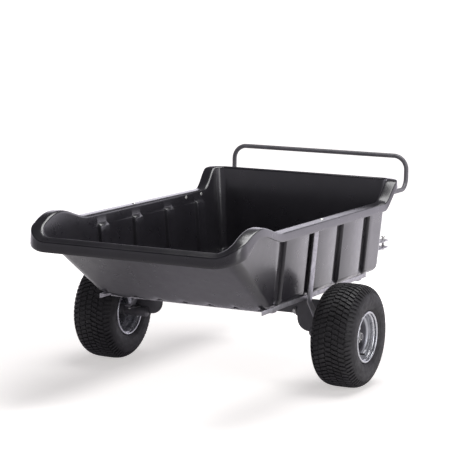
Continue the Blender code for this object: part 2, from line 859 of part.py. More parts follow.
def fill_tub_half(working):
    """Rings joined by quads, and a floor of strips that run along the trailer."""
    stations = outline_stations()
    rings = []
    for rows, point_at in ((WALL_RINGS, wall_point), (RIM_RINGS, rim_point)):
        for ring in rows:
            rings.append([working.verts.new(point_at(*station, ring)) for station in stations])
    for lower, upper in zip(rings, rings[1:]):
        for index in range(len(stations) - 1):
            working.faces.new((lower[index], upper[index], upper[index + 1], lower[index + 1]))
    floor = rings[0]
    last = len(stations) - 1
    columns = len(SCALLOP_COLUMNS)
    for index in range(columns - 1):
        working.faces.new((floor[index], floor[index + 1], floor[last - index - 1], floor[last - index]))
    working.faces.new(floor[columns - 1:last - columns + 2])


def make_tub():
    tub = add_piece("tub", filled_mesh("tub", fill_tub_half), PLASTIC, smooth=True)
    halves = tub.modifiers.new("halves", "MIRROR")
    halves.merge_threshold = 0.0001
    shell = tub.modifiers.new("shell", "SOLIDIFY")
    shell.thickness = TUB_WALL
    shell.offset = -1.0
    shell.use_even_offset = True
    hole = BOLT_RADIUS + HOLE_CLEARANCE
    holes = []
    for side in (RIGHT, LEFT):
        for y in FLOOR_BOLT_Y:
            holes.append((hole, RAIL_TOP_Z, TUB_FLOOR_Z + TUB_WALL, (side * FLOOR_BOLT_X, y, 0), "z"))
        rim_bolt = (side * STRUT_RIM_BOLT_X, STRUT_Y, 0)
        holes.append((hole, STRUT_TOP_Z, TUB_SIDE_Z + TUB_WALL, rim_bolt, "z"))
        for y in HANDLE_BOLT_Y:
            low, high = sorted((side * (HANDLE_BOLT_HEAD_X - TUB_WALL), side * HANDLE_TAIL_X))
            holes.append((hole, low, high, (0, y, HANDLE_TAIL_Z), "x"))
    return cut_holes(tub, holes)


# Steel under the tub

RAIL_TOP_Z = TUB_FLOOR_Z - TUB_WALL - FACE_GAP
RAIL_FLAT_Z = RAIL_TOP_Z - RAIL_THICKNESS
RAIL_BOTTOM_Z = RAIL_TOP_Z - RAIL_HEIGHT
FLOOR_BOLT_X = SCALLOP_EDGE_X + FLOOR_STRIP / 2
RAIL_OUTER_X = FLOOR_BOLT_X + RAIL_BESIDE_BOLT
STRUT_TOP_Z = TUB_SIDE_Z - TUB_WALL - FLANGE_SAG
STRUT_RIM_BOLT_X = wall_outer_x(STRUT_TOP_Z) + STRUT_RIM_BOLT_OUT
SADDLE_BOTTOM_Z = WHEEL_Z + STUB_DIAMETER / 2 + FACE_GAP
SADDLE_TOP_Z = SADDLE_BOTTOM_Z + SADDLE_THICKNESS
HANGER_OUTER_X = RIM_INNER_X - HANGER_BESIDE_RIM
STUB_INNER_X = HANGER_OUTER_X - STUB_IN_HANGER
STRUT_END_X = RIM_INNER_X - STRUT_BESIDE_RIM
SADDLE_INNER_X = STRUT_END_X - SADDLE_WIDTH
LEAN = math.cos(TUB_SIDE_DRAFT)
HANDLE_TAIL_X = wall_outer_x(HANDLE_TAIL_Z) + (HANDLE_RADIUS + FACE_GAP) / LEAN
HANDLE_LEG_X = wall_outer_x(HANDLE_LEG_Z) + (HANDLE_RADIUS + FACE_GAP) / LEAN
HANDLE_BOLT_HEAD_X = half_width(HANDLE_TAIL_Z) - BOLT_DOME_RADIUS * math.tan(TUB_SIDE_DRAFT) - FACE_GAP


def make_side_rails():
    """Steel angles under the floor's edges."""
    outer = RAIL_OUTER_X
    leg = outer - RAIL_THICKNESS
    outline = [(outer, RAIL_BOTTOM_Z), (outer, RAIL_TOP_Z), (outer - RAIL_WIDTH, RAIL_TOP_Z),
               (outer - RAIL_WIDTH, RAIL_FLAT_Z), (leg, RAIL_FLAT_Z), (leg, RAIL_BOTTOM_Z)]
    length = RAIL_END_Y - RAIL_START_Y
    rail = as_mesh(plate("side_rail", [outline], length, "xz", (RAIL_START_Y + RAIL_END_Y) / 2, STEEL))
    hole = BOLT_RADIUS + HOLE_CLEARANCE
    places = [(FLOOR_BOLT_X, y, 0) for y in FLOOR_BOLT_Y]
    cut_holes(rail, [(hole, RAIL_BOTTOM_Z, TUB_FLOOR_Z, place, "z") for place in places])
    return both_sides(rail, "side_rail")


def make_cross_bars():
    """Flat bars welded across under the rails."""
    top = RAIL_BOTTOM_Z - FACE_GAP
    bars = []
    for name, y in (("cross_bar_rear", CROSS_BAR_REAR_Y), ("cross_bar_front", CROSS_BAR_FRONT_Y)):
        low = (-RAIL_OUTER_X, y - CROSS_BAR_WIDTH / 2, top - CROSS_BAR_THICKNESS)
        high = (RAIL_OUTER_X, y + CROSS_BAR_WIDTH / 2, top)
        bars.append(box(name, low, high, STEEL))
    return bars


def make_floor_bolts():
    """Coach bolts through the floor and the rails."""
    head_z = TUB_FLOOR_Z + FACE_GAP
    bolts = []
    for number, y in enumerate(FLOOR_BOLT_Y, 1):
        right = bolt("floor_bolt", small_bolt(head_z - RAIL_FLAT_Z), (FLOOR_BOLT_X, y, head_z), "z")
        bolts += both_sides(right, f"floor_bolt_{number}")
    return bolts


def make_hangers():
    """Plates across the trailer that carry the stub axles under the rails."""
    inner_top = RAIL_FLAT_Z - FACE_GAP
    outer_top = RAIL_BOTTOM_Z - FACE_GAP
    step_x = RAIL_OUTER_X - RAIL_THICKNESS - BESIDE_GAP
    rail_inner_x = RAIL_OUTER_X - RAIL_WIDTH
    corner = (HANGER_INNER_X + HANGER_CORNER, HANGER_BOTTOM_Z + HANGER_CORNER)
    notch_x = STUB_INNER_X - RUNNING_GAP
    notch_z = WHEEL_Z + math.sqrt((STUB_DIAMETER / 2)**2 - HANGER_Y**2) + FACE_GAP
    outline = arc(corner, HANGER_CORNER, 180, 270, 8)
    outline += [(notch_x, HANGER_BOTTOM_Z), (notch_x, notch_z), (HANGER_OUTER_X, notch_z),
                (HANGER_OUTER_X, outer_top), (step_x, outer_top), (step_x, inner_top),
                (rail_inner_x, inner_top), (rail_inner_x, outer_top), (HANGER_INNER_X, outer_top)]
    middle = HANGER_Y + HANGER_THICKNESS / 2
    hanger = plate("hanger", [outline], HANGER_THICKNESS, "xz", middle, DARK_STEEL)
    return both_sides(hanger, "axle_hanger")


def make_pivot_plates():
    """Plates along the trailer, welded to the hangers, which turn on the pivot bolts."""
    low = (HANGER_Y + HANGER_THICKNESS + FACE_GAP, PIVOT_PLATE_BOTTOM_Z)
    high = (PIVOT_PLATE_END_Y, RAIL_BOTTOM_Z - FACE_GAP)
    hole = circle((PIVOT_Y, PIVOT_Z), PIVOT_BOLT_DIAMETER / 2 + HOLE_CLEARANCE)
    middle = HANGER_INNER_X + HANGER_THICKNESS / 2
    made = plate("pivot_plate", [rectangle(low, high), hole], HANGER_THICKNESS, "yz", middle, DARK_STEEL)
    return both_sides(made, "pivot_plate")


def make_axle_beam():
    """Square tube between the pivot plates."""
    start_y = HANGER_Y + HANGER_THICKNESS + FACE_GAP
    bottom_z = PIVOT_Z + LUG_RADIUS + BEAM_ABOVE_LUG
    end = HANGER_INNER_X - FACE_GAP
    return square_tube("axle_beam", (start_y, bottom_z), (start_y + BEAM_SIZE, bottom_z + BEAM_SIZE),
                       BEAM_WALL, "yz", (-end, end), DARK_STEEL)


def make_stub_axles():
    """A tube under each hanger, turned down to the wheel's spindle."""
    shoulder = HUB_INNER - FACE_GAP
    inner = STUB_INNER_X - WHEEL_X
    tip = HUB_OUTER + NUT_FLANGE + AXLE_NUT_THICKNESS + SPINDLE_TAIL
    thick = STUB_DIAMETER / 2
    thin = SPINDLE_DIAMETER / 2

    def fill(working):
        sections = ((inner, thick, "round"), (shoulder, thick, "round"), (shoulder, thin, "round"),
                    (tip - BOLT_TIP, thin, "round"), (tip, thin - BOLT_TIP, "round"))
        put_bolt(working, sections, (WHEEL_X, 0, WHEEL_Z), "x")

    stub = add_piece("stub_axle", filled_mesh("stub_axle", fill), DARK_STEEL, smooth=True)
    return both_sides(stub, "stub_axle")


STRUT_FOOT_BOLT_X = STRUT_END_X - STRUT_FOOT_INSET


def strut_line():
    """Centre line of a strut in the plane across the trailer."""
    stand_off = BESIDE_GAP + STRUT_THICKNESS / 2
    top_z = STRUT_TOP_Z - STRUT_THICKNESS / 2
    foot_z = SADDLE_TOP_Z + FACE_GAP + STRUT_THICKNESS / 2
    return [
        (STRUT_RIM_BOLT_X + STRUT_RIM_TAB, top_z),
        (wall_outer_x(top_z) + stand_off + STRUT_BEND, top_z),
        (wall_outer_x(top_z - STRUT_BEND) + stand_off, top_z - STRUT_BEND),
        (wall_outer_x(STRUT_KNEE_Z) + stand_off, STRUT_KNEE_Z),
        (STRUT_END_X - STRUT_FOOT, foot_z),
        (STRUT_END_X, foot_z),
    ]


def make_struts():
    """Bent flat bars from under the rim to the saddles on the stub axles."""
    outline = strip_outline(strut_line(), STRUT_THICKNESS)
    strut = as_mesh(plate("strut", [outline], STRUT_WIDTH, "xz", STRUT_Y, STEEL))
    hole = BOLT_RADIUS + HOLE_CLEARANCE
    foot_top = SADDLE_TOP_Z + 2 * STRUT_THICKNESS
    cut_holes(strut, [
        (hole, STRUT_TOP_Z - 2 * STRUT_THICKNESS, TUB_SIDE_Z, (STRUT_RIM_BOLT_X, STRUT_Y, 0), "z"),
        (hole, SADDLE_BOTTOM_Z, foot_top, (STRUT_FOOT_BOLT_X, STRUT_Y, 0), "z"),
    ])
    return both_sides(strut, "strut")


def make_saddles():
    """Plates welded on the stub axles, which take the struts' feet."""
    low = (SADDLE_INNER_X, STRUT_Y - STRUT_WIDTH / 2)
    high = (STRUT_END_X, HANGER_Y - FACE_GAP)
    outlines = [rectangle(low, high), circle((STRUT_FOOT_BOLT_X, STRUT_Y), BOLT_RADIUS + HOLE_CLEARANCE)]
    middle = SADDLE_BOTTOM_Z + SADDLE_THICKNESS / 2
    saddle = plate("strut_saddle", outlines, SADDLE_THICKNESS, "xy", middle, DARK_STEEL)
    return both_sides(saddle, "strut_saddle")


def make_strut_bolts():
    rim_head_z = TUB_SIDE_Z + FACE_GAP
    rim_grip = rim_head_z - STRUT_TOP_Z + STRUT_THICKNESS
    foot_head_z = SADDLE_TOP_Z + STRUT_THICKNESS + 2 * FACE_GAP
    foot_grip = foot_head_z - SADDLE_BOTTOM_Z
    upper = bolt("strut_bolt", small_bolt(rim_grip), (STRUT_RIM_BOLT_X, STRUT_Y, rim_head_z), "z")
    lower = bolt("strut_bolt", small_bolt(foot_grip), (STRUT_FOOT_BOLT_X, STRUT_Y, foot_head_z), "z")
    return both_sides(upper, "strut_bolt_upper") + both_sides(lower, "strut_bolt_lower")


# Push handle


def make_push_handle():
    """A hoop of round tube, bolted to the side walls under the rim."""
    half = [
        (HANDLE_TAIL_X, HANDLE_TAIL_START_Y, HANDLE_TAIL_Z),
        (HANDLE_TAIL_X, HANDLE_TAIL_BEND_Y, HANDLE_TAIL_Z),
        (HANDLE_LEG_X, HANDLE_LEG_BEND_Y, HANDLE_LEG_Z),
        (HANDLE_LEG_X, HANDLE_Y, HANDLE_LEG_Z),
        (HANDLE_LEG_X, HANDLE_Y, HANDLE_TOP_Z),
    ]
    corners = half + [(-x, y, z) for x, y, z in reversed(half)]
    radii = [HANDLE_LOW_BEND, HANDLE_LOW_BEND, HANDLE_LOW_BEND, HANDLE_TOP_BEND]
    path = rounded_path(corners, radii + radii[::-1])
    handle = as_mesh(round_tube("push_handle", path, HANDLE_RADIUS, DARK_STEEL))
    hole = BOLT_RADIUS + HOLE_CLEARANCE
    holes = []
    for side in (RIGHT, LEFT):
        for y in HANDLE_BOLT_Y:
            low, high = sorted((side * HANDLE_BOLT_HEAD_X, side * (HANDLE_TAIL_X + 2 * HANDLE_RADIUS)))
            holes.append((hole, low, high, (0, y, HANDLE_TAIL_Z), "x"))
    return cut_holes(handle, holes)


def make_handle_bolts():
    grip = HANDLE_TAIL_X + HANDLE_RADIUS - HANDLE_BOLT_HEAD_X
    bolts = []
    for number, y in enumerate(HANDLE_BOLT_Y, 1):
        right = bolt("handle_bolt", small_bolt(grip), (HANDLE_BOLT_HEAD_X, y, HANDLE_TAIL_Z), "x", LEFT)
        bolts += both_sides(right, f"handle_bolt_{number}")
    return bolts


# Tipping pivot

LUG_X = HANGER_INNER_X - RUNNING_GAP - LUG_THICKNESS
PIVOT_FLANGE_X = LUG_X - RUNNING_GAP - NUT_FLANGE
PIVOT_NUT_X = PIVOT_FLANGE_X - PIVOT_NUT_THICKNESS
CROSS_TUBE_TOP_Z = PIVOT_Z + LUG_RADIUS
CROSS_TUBE_FRONT_Y = CROSS_TUBE_Y + CROSS_TUBE_SIZE / 2
DRAWBAR_BOTTOM_Z = CROSS_TUBE_TOP_Z + FACE_GAP
DRAWBAR_TOP_Z = DRAWBAR_BOTTOM_Z + DRAWBAR_HEIGHT


def make_pivot_lugs():
    """Plates on the ends of the drawbar's cross tube, with a round boss about the pivot."""
    pivot = (PIVOT_Y, PIVOT_Z)
    outline = arc(pivot, LUG_RADIUS, 90, 270, 10)
    outline += [(CROSS_TUBE_FRONT_Y, PIVOT_Z - LUG_RADIUS), (CROSS_TUBE_FRONT_Y, PIVOT_Z + LUG_RADIUS)]
    hole = circle(pivot, PIVOT_BOLT_DIAMETER / 2 + HOLE_CLEARANCE)
    lug = plate("pivot_lug", [outline, hole], LUG_THICKNESS, "yz", LUG_X + LUG_THICKNESS / 2, DARK_STEEL)
    return both_sides(lug, "pivot_lug")


def make_pivot_bolts():
    """Hexagon-headed bolts from outside, through the pivot plates and the lugs."""
    head_x = HANGER_INNER_X + HANGER_THICKNESS + FACE_GAP
    end_x = PIVOT_NUT_X - PIVOT_BOLT_TAIL
    shank = PIVOT_BOLT_DIAMETER / 2
    sections = ((end_x, shank - BOLT_TIP, "round"), (end_x + BOLT_TIP, shank, "round"),
                (head_x, shank, "round"), (head_x, PIVOT_BOLT_ACROSS, "hex"),
                (head_x + PIVOT_BOLT_HEAD, PIVOT_BOLT_ACROSS, "hex"))
    return both_sides(bolt("pivot_bolt", sections, (0, PIVOT_Y, PIVOT_Z), "x"), "pivot_bolt")


def make_pivot_nuts():
    """Flanged nuts on the pivot bolts, inside the lugs."""
    sections = ((PIVOT_NUT_X, PIVOT_BOLT_ACROSS, "hex"), (PIVOT_FLANGE_X, PIVOT_BOLT_ACROSS, "hex"),
                (PIVOT_FLANGE_X, PIVOT_FLANGE_RADIUS, "round"),
                (PIVOT_FLANGE_X + NUT_FLANGE, PIVOT_FLANGE_RADIUS, "round"))

    def fill(working):
        put_nut(working, sections, PIVOT_BOLT_DIAMETER / 2 + FACE_GAP, (0, PIVOT_Y, PIVOT_Z), "x")

    return both_sides(fastener("pivot_nut", fill), "pivot_nut")


# Drawbar


def make_cross_tube():
    """Square tube between the pivot lugs."""
    half = CROSS_TUBE_SIZE / 2
    low = (CROSS_TUBE_Y - half, CROSS_TUBE_TOP_Z - CROSS_TUBE_SIZE)
    end = LUG_X - FACE_GAP
    square_tube("drawbar_cross_tube", low, (CROSS_TUBE_Y + half, CROSS_TUBE_TOP_Z), TUBE_WALL, "yz",
                (-end, end), DARK_STEEL)


def make_drawbar():
    """Rectangular tube on top of the cross tube, forward to the hitch."""
    half = DRAWBAR_WIDTH / 2
    tube = square_tube("drawbar_tube", (-half, DRAWBAR_BOTTOM_Z), (half, DRAWBAR_TOP_Z), TUBE_WALL, "xz",
                       (DRAWBAR_START_Y, DRAWBAR_END_Y), DARK_STEEL)
    hole = BOLT_RADIUS + HOLE_CLEARANCE
    low = DRAWBAR_BOTTOM_Z - DRAWBAR_HEIGHT
    high = DRAWBAR_TOP_Z + DRAWBAR_HEIGHT
    cut_holes(as_mesh(tube), [(hole, low, high, (0, y, 0), "z") for y in HITCH_BOLT_Y])


def make_braces():
    """Round tubes from the cross tube forward to the sides of the drawbar."""
    rear_z = CROSS_TUBE_TOP_Z - CROSS_TUBE_SIZE / 2
    front_z = DRAWBAR_BOTTOM_Z + DRAWBAR_HEIGHT / 2
    front_x = DRAWBAR_WIDTH / 2 + BRACE_RADIUS + FACE_GAP
    corners = [
        (BRACE_REAR_X, CROSS_TUBE_FRONT_Y + FACE_GAP, rear_z),
        (BRACE_REAR_X, CROSS_TUBE_FRONT_Y + BRACE_REAR_RUN, rear_z),
        (front_x, BRACE_FRONT_Y - BRACE_FRONT_RUN, front_z),
        (front_x, BRACE_FRONT_Y, front_z),
    ]
    path = rounded_path(corners, (BRACE_BEND, BRACE_BEND), 3)
    both_sides(round_tube("drawbar_brace", path, BRACE_RADIUS, DARK_STEEL), "drawbar_brace")


def make_buffer():
    """Rubber block on the drawbar, on which the front cross bar rests."""
    low = DRAWBAR_TOP_Z + FACE_GAP
    high = RAIL_BOTTOM_Z - CROSS_BAR_THICKNESS - 2 * FACE_GAP

    def fill(working):
        put_cylinder(working, BUFFER_RADIUS, low, high, (0, CROSS_BAR_FRONT_Y, 0), "z", 20)

    add_piece("rest_buffer", filled_mesh("rest_buffer", fill), RUBBER, smooth=True)


# Hitch

STRAP_TOP_Z = DRAWBAR_TOP_Z + FACE_GAP + STRAP_THICKNESS
STRAP_BOTTOM_Z = DRAWBAR_BOTTOM_Z - FACE_GAP - STRAP_THICKNESS


def make_hitch_straps():
    """Flat straps over and under the drawbar's end, which make the fork for the pin."""
    half = STRAP_WIDTH / 2
    outline = [(-half, STRAP_START_Y), (half, STRAP_START_Y)]
    outline += arc((0, HITCH_REACH - half), half, 0, 180, 10)
    holes = [circle((0, y), BOLT_RADIUS + HOLE_CLEARANCE) for y in HITCH_BOLT_Y]
    holes.append(circle((0, HITCH_PIN_Y), HITCH_PIN_DIAMETER / 2 + HOLE_CLEARANCE))
    for name, middle in (("hitch_strap_top", STRAP_TOP_Z - STRAP_THICKNESS / 2),
                         ("hitch_strap_bottom", STRAP_BOTTOM_Z + STRAP_THICKNESS / 2)):
        plate(name, [outline, *holes], STRAP_THICKNESS, "xy", middle, STEEL)


def make_hitch_bolts():
    head_z = STRAP_TOP_Z + FACE_GAP
    for number, y in enumerate(HITCH_BOLT_Y, 1):
        bolt(f"hitch_bolt_{number}", small_bolt(head_z - STRAP_BOTTOM_Z), (0, y, head_z), "z")


def make_hitch_pin():
    """Drop pin with a collar that rests on the top strap and a knob above it."""
    radius = HITCH_PIN_DIAMETER / 2
    tip_z = STRAP_BOTTOM_Z - HITCH_PIN_TAIL
    collar_z = STRAP_TOP_Z + FACE_GAP
    neck_z = collar_z + HITCH_PIN_COLLAR_THICKNESS
    knob_z = neck_z + HITCH_PIN_NECK_HEIGHT
    top_z = knob_z + HITCH_PIN_KNOB_HEIGHT
    sections = (
        (tip_z, radius - HITCH_PIN_ROUND, "round"),
        (tip_z + HITCH_PIN_TAPER, radius, "round"),
        (collar_z, radius, "round"),
        (collar_z, HITCH_PIN_COLLAR, "round"),
        (neck_z, HITCH_PIN_COLLAR, "round"),
        (neck_z, HITCH_PIN_NECK, "round"),
        (knob_z, HITCH_PIN_NECK, "round"),
        (knob_z + HITCH_PIN_ROUND, HITCH_PIN_KNOB, "round"),
        (top_z - HITCH_PIN_ROUND, HITCH_PIN_KNOB, "round"),
        (top_z, HITCH_PIN_KNOB - HITCH_PIN_ROUND, "round"),
    )
    return bolt("hitch_pin", sections, (0, HITCH_PIN_Y, 0), "z")


# Parking stand

STAND_BRACKET_X = STAND_TUBE_RADIUS + BESIDE_GAP


def make_stand_bracket():
    """A channel under the drawbar, whose legs hold the stand's pivot bolt."""
    inner = STAND_BRACKET_X
    outer = inner + STAND_BRACKET_SHEET
    top = DRAWBAR_BOTTOM_Z - FACE_GAP
    under = top - STAND_BRACKET_SHEET
    low = STAND_PIVOT_Z - STAND_BRACKET_HALF
    outline = [(-outer, low), (-inner, low), (-inner, under), (inner, under), (inner, low), (outer, low),
               (outer, top), (-outer, top)]
    depth = 2 * STAND_BRACKET_HALF
    bracket = as_mesh(plate("stand_bracket", [outline], depth, "xz", STAND_Y, DARK_STEEL))
    reach = 2 * outer
    cut_holes(bracket, [(BOLT_RADIUS + HOLE_CLEARANCE, -reach, reach, (0, STAND_Y, STAND_PIVOT_Z), "x")])


def make_stand_bolt():
    head_x = STAND_BRACKET_X + STAND_BRACKET_SHEET + FACE_GAP
    bolt("stand_bolt", small_bolt(2 * head_x), (head_x, STAND_Y, STAND_PIVOT_Z), "x")


def make_stand_leg():
    """Round bar that hangs from the pivot bolt, with a round foot."""
    top = STAND_PIVOT_Z + STAND_LEG_ABOVE
    sections = ((0, STAND_FOOT_RADIUS, "round"), (STAND_FOOT_THICKNESS, STAND_FOOT_RADIUS, "round"),
                (STAND_FOOT_THICKNESS, STAND_TUBE_RADIUS, "round"), (top, STAND_TUBE_RADIUS, "round"))

    def fill(working):
        put_bolt(working, sections, (0, STAND_Y, 0), "z")

    leg = add_piece("stand_leg", filled_mesh("stand_leg", fill), DARK_STEEL, smooth=True)
    reach = 2 * STAND_TUBE_RADIUS
    return cut_holes(leg, [(BOLT_RADIUS + HOLE_CLEARANCE, -reach, reach, (0, STAND_Y, STAND_PIVOT_Z), "x")])


# Wheels


def two_sided(half):
    """A profile that runs from +x to the middle, carried on to -x by its mirror image."""
    return half + [(-across, radius) for across, radius in reversed(half) if across > 0]


def quarter(middle, reach, towards, steps=QUARTER_STEPS):
    """Points of a quarter ellipse, from straight out of its middle to straight above or below it."""
    points = []
    for step in range(steps + 1):
        angle = math.pi / 2 * step / steps
        across = middle[0] + reach[0] * math.cos(angle)
        points.append((across, middle[1] + towards * reach[1] * math.sin(angle)))
    return points


def tyre_profile():
    """Section of a hollow tyre: outside from one bead round to the other, and back inside."""
    top = TYRE_DIAMETER / 2
    seat = RIM_SEAT_RADIUS + FACE_GAP
    bulge = TYRE_BULGE_RADIUS
    bead_x = BEAD_OUTER_X + BEAD_LEAN
    tread_radius = top - SHOULDER_FALL
    lower = quarter((bead_x, bulge), (TYRE_HALF_WIDTH - bead_x, bulge - seat - BEAD_HEIGHT), -1)
    shoulder = TYRE_HALF_WIDTH - TREAD_HALF_WIDTH
    upper = quarter((TREAD_HALF_WIDTH, bulge), (shoulder, tread_radius - bulge), 1)
    outside = [(BEAD_OUTER_X, seat)] + lower[:0:-1] + upper
    outside += [(CROWN_HALF_WIDTH, top - CROWN_FALL), (0.0, top)]
    inner_x = TYRE_HALF_WIDTH - TYRE_SIDE_WALL
    inner_tread_x = TREAD_HALF_WIDTH - TYRE_SIDE_WALL
    inner_lower = quarter((BEAD_INNER_X, bulge), (inner_x - BEAD_INNER_X, bulge - seat), -1, 2)
    inner_upper = quarter((inner_tread_x, bulge),
                          (inner_x - inner_tread_x, tread_radius - TREAD_THICKNESS - bulge), 1, 2)
    inside = inner_lower[:0:-1] + inner_upper + [(0.0, top - TREAD_THICKNESS)]
    return two_sided(outside) + two_sided(inside)[::-1]


def rim_profile():
    """Section of a pressed rim: its tyre side, then its air side with the disc and its recess."""
    seat = RIM_SEAT_RADIUS
    roll_x = RIM_HALF_WIDTH - RIM_FLANGE_ROLL
    tyre_side = [(RIM_HALF_WIDTH, seat + RIM_FLANGE),
                 (roll_x, seat + RIM_FLANGE - RIM_FLANGE_CURL / 2),
                 (RIM_SEAT_END + RIM_FLANGE_CURL, seat + RIM_FLANGE / 2),
                 (RIM_SEAT_END, seat),
                 (WELL_HALF_WIDTH + WELL_RAMP, seat),
                 (WELL_HALF_WIDTH, seat - WELL_DEPTH)]
    inner = seat - RIM_SHEET
    half_sheet = RIM_SHEET / 2
    flange = [(WELL_HALF_WIDTH + WELL_RAMP + half_sheet, inner),
              (RIM_SEAT_END + RIM_FLANGE_CURL, inner),
              (RIM_SEAT_END + RIM_FLANGE_CURL + RIM_SHEET, seat + RIM_FLANGE / 2 - half_sheet),
              (roll_x + half_sheet, seat + RIM_FLANGE - RIM_FLANGE_CURL / 2 - RIM_SHEET),
              (RIM_HALF_WIDTH, seat + RIM_FLANGE - RIM_SHEET)]
    hole = HUB_RADIUS + FACE_GAP
    back = DISC_FACE - RIM_SHEET
    recess_back = RECESS_FACE - RIM_SHEET
    disc = [(back, inner - DISC_ROOT),
            (back, RECESS_RADIUS + RECESS_DRAFT + half_sheet),
            (recess_back, RECESS_RADIUS + half_sheet),
            (recess_back, hole),
            (RECESS_FACE, hole),
            (RECESS_FACE, RECESS_RADIUS - half_sheet),
            (DISC_FACE, RECESS_RADIUS + RECESS_DRAFT - half_sheet),
            (DISC_FACE, inner - DISC_ROOT),
            (DISC_FACE + DISC_ROOT, inner)]
    air_side = [(-across, radius) for across, radius in reversed(flange)]
    air_side += [(-WELL_HALF_WIDTH - half_sheet, inner - WELL_DEPTH),
                 (WELL_HALF_WIDTH + half_sheet, inner - WELL_DEPTH),
                 flange[0]]
    return two_sided(tyre_side) + air_side + disc + flange[1:]


def sleeve_profile(low, high, inner, outer):
    return [(high, outer), (low, outer), (low, inner), (high, inner)]


def make_wheels():
    """Both wheels' pieces, as pairs of a right-hand and a left-hand piece."""
    hub_bore = HUB_RADIUS - HUB_WALL
    bush_bore = SPINDLE_DIAMETER / 2 + RUNNING_GAP
    tyre = turned("tyre", tyre_profile(), RUBBER)
    rim = turned("rim", rim_profile(), RIM_PAINT)
    hub = turned("hub", sleeve_profile(HUB_INNER, HUB_OUTER, hub_bore, HUB_RADIUS), DARK_STEEL)
    bush_end = HUB_OUTER - BESIDE_GAP
    bush_profile = sleeve_profile(HUB_INNER + BESIDE_GAP, bush_end, bush_bore, hub_bore - FACE_GAP)
    bush = turned("hub_bush", bush_profile, PLASTIC)
    return [both_sides(piece, piece.name) for piece in (tyre, rim, hub, bush)]


def make_axle_nuts():
    """Flanged nuts that hold the wheels on the spindles."""
    flange_x = WHEEL_X + HUB_OUTER + RUNNING_GAP
    nut_x = flange_x + NUT_FLANGE
    sections = ((flange_x, AXLE_FLANGE_RADIUS, "round"), (nut_x, AXLE_FLANGE_RADIUS, "round"),
                (nut_x, AXLE_NUT_ACROSS, "hex"), (nut_x + AXLE_NUT_THICKNESS, AXLE_NUT_ACROSS, "hex"))

    def fill(working):
        put_nut(working, sections, SPINDLE_DIAMETER / 2 + FACE_GAP, (0, 0, WHEEL_Z), "x")

    return both_sides(fastener("axle_nut", fill), "axle_nut")


# Assembly

tip_axis = Axis("tip_axis", (0, PIVOT_Y, PIVOT_Z))
wheel_axis_right = Axis("wheel_axis_right", (WHEEL_X, 0, WHEEL_Z), tip_axis)
wheel_axis_left = Axis("wheel_axis_left", (-WHEEL_X, 0, WHEEL_Z), tip_axis)
stand_axis = Axis("stand_axis", (0, STAND_Y, STAND_PIVOT_Z))
pin_axis = Axis("pin_axis", (0, HITCH_PIN_Y, STRAP_TOP_Z))

make_cross_tube()
make_drawbar()
make_braces()
make_pivot_lugs()
make_buffer()
make_hitch_straps()
make_hitch_bolts()
make_stand_bracket()
make_stand_bolt()

tip_axis.carry([make_tub(), make_push_handle()] + make_handle_bolts())
tip_axis.carry(make_side_rails() + make_cross_bars() + make_floor_bolts())
tip_axis.carry(make_hangers() + make_pivot_plates() + [make_axle_beam()])
tip_axis.carry(make_stub_axles() + make_struts() + make_saddles() + make_strut_bolts())
tip_axis.carry(make_pivot_bolts() + make_pivot_nuts() + make_axle_nuts())

for right_piece, left_piece in make_wheels():
    wheel_axis_right.carry([right_piece])
    wheel_axis_left.carry([left_piece])

stand_axis.carry([make_stand_leg()])
pin_axis.carry([make_hitch_pin()])
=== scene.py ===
"""Dressed view of the tipping trailer for an all-terrain vehicle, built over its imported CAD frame."""

import math
from bisect import bisect_right

import bmesh
import bpy
from mathutils import Matrix, Vector


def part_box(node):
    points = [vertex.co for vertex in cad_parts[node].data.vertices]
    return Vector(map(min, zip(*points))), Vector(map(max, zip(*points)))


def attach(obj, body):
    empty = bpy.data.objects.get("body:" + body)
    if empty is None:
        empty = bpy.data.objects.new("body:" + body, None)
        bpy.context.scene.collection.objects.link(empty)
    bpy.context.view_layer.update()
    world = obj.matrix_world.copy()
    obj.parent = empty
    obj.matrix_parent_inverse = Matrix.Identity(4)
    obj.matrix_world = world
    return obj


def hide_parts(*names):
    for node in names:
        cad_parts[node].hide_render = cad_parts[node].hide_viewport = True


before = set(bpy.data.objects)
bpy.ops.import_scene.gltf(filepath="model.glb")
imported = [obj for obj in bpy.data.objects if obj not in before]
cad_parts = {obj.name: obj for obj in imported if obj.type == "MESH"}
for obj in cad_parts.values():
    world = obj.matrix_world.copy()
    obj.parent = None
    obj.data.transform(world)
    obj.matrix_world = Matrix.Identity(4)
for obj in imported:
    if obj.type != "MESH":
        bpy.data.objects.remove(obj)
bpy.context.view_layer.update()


# The tub is one moulded shell of black polyethylene, 5 mm thick. Its walls are stiffened by
# upright channels and its floor by troughs; the rim turns out into a flange with a skirt, and
# the rear end is a low pouring lip between two horns.

wheel_low, wheel_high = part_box("tyre_right")
AXLE = Vector((0.0, (wheel_low.y + wheel_high.y) / 2, 0.0))

TUB_WALL = 0.005
FLOOR_Z = 0.395
LIP_Z = 0.695
SIDE_Z = 0.736
HORN_Z = 0.781
FRONT_Z = 0.835
FLOOR_HALF_WIDTH = 0.4161
SIDE_LEAN = math.radians(5.0)
FRONT_Y = 0.760
FRONT_LEAN = math.radians(1.75)
REAR_Y = -0.4366
REAR_SLOPE = math.radians(34.3)
HORN_Y = -0.700
HORN_FALL = 0.036
DIP_Y = -0.475
STEP_START_Y = 0.618
STEP_END_Y = 0.760
REAR_CORNER = 0.050
FRONT_CORNER = 0.040
FRONT_FILLET = 0.045
FLOOR_FILLET = 0.024
FLOOR_EDGE = 0.0216
TROUGH_DEPTH = 0.020
TROUGH_SHARPNESS = 2.2
CHANNEL_MIDDLES = (-0.368, -0.064, 0.237, 0.543)
CHANNEL_WIDTH = 0.082
CHANNEL_FLAT = 0.070
CHANNEL_DEPTH = 0.016
TOP_ROUNDING = 0.012
FLANGE_SIDE = 0.057
FLANGE_FRONT = 0.036
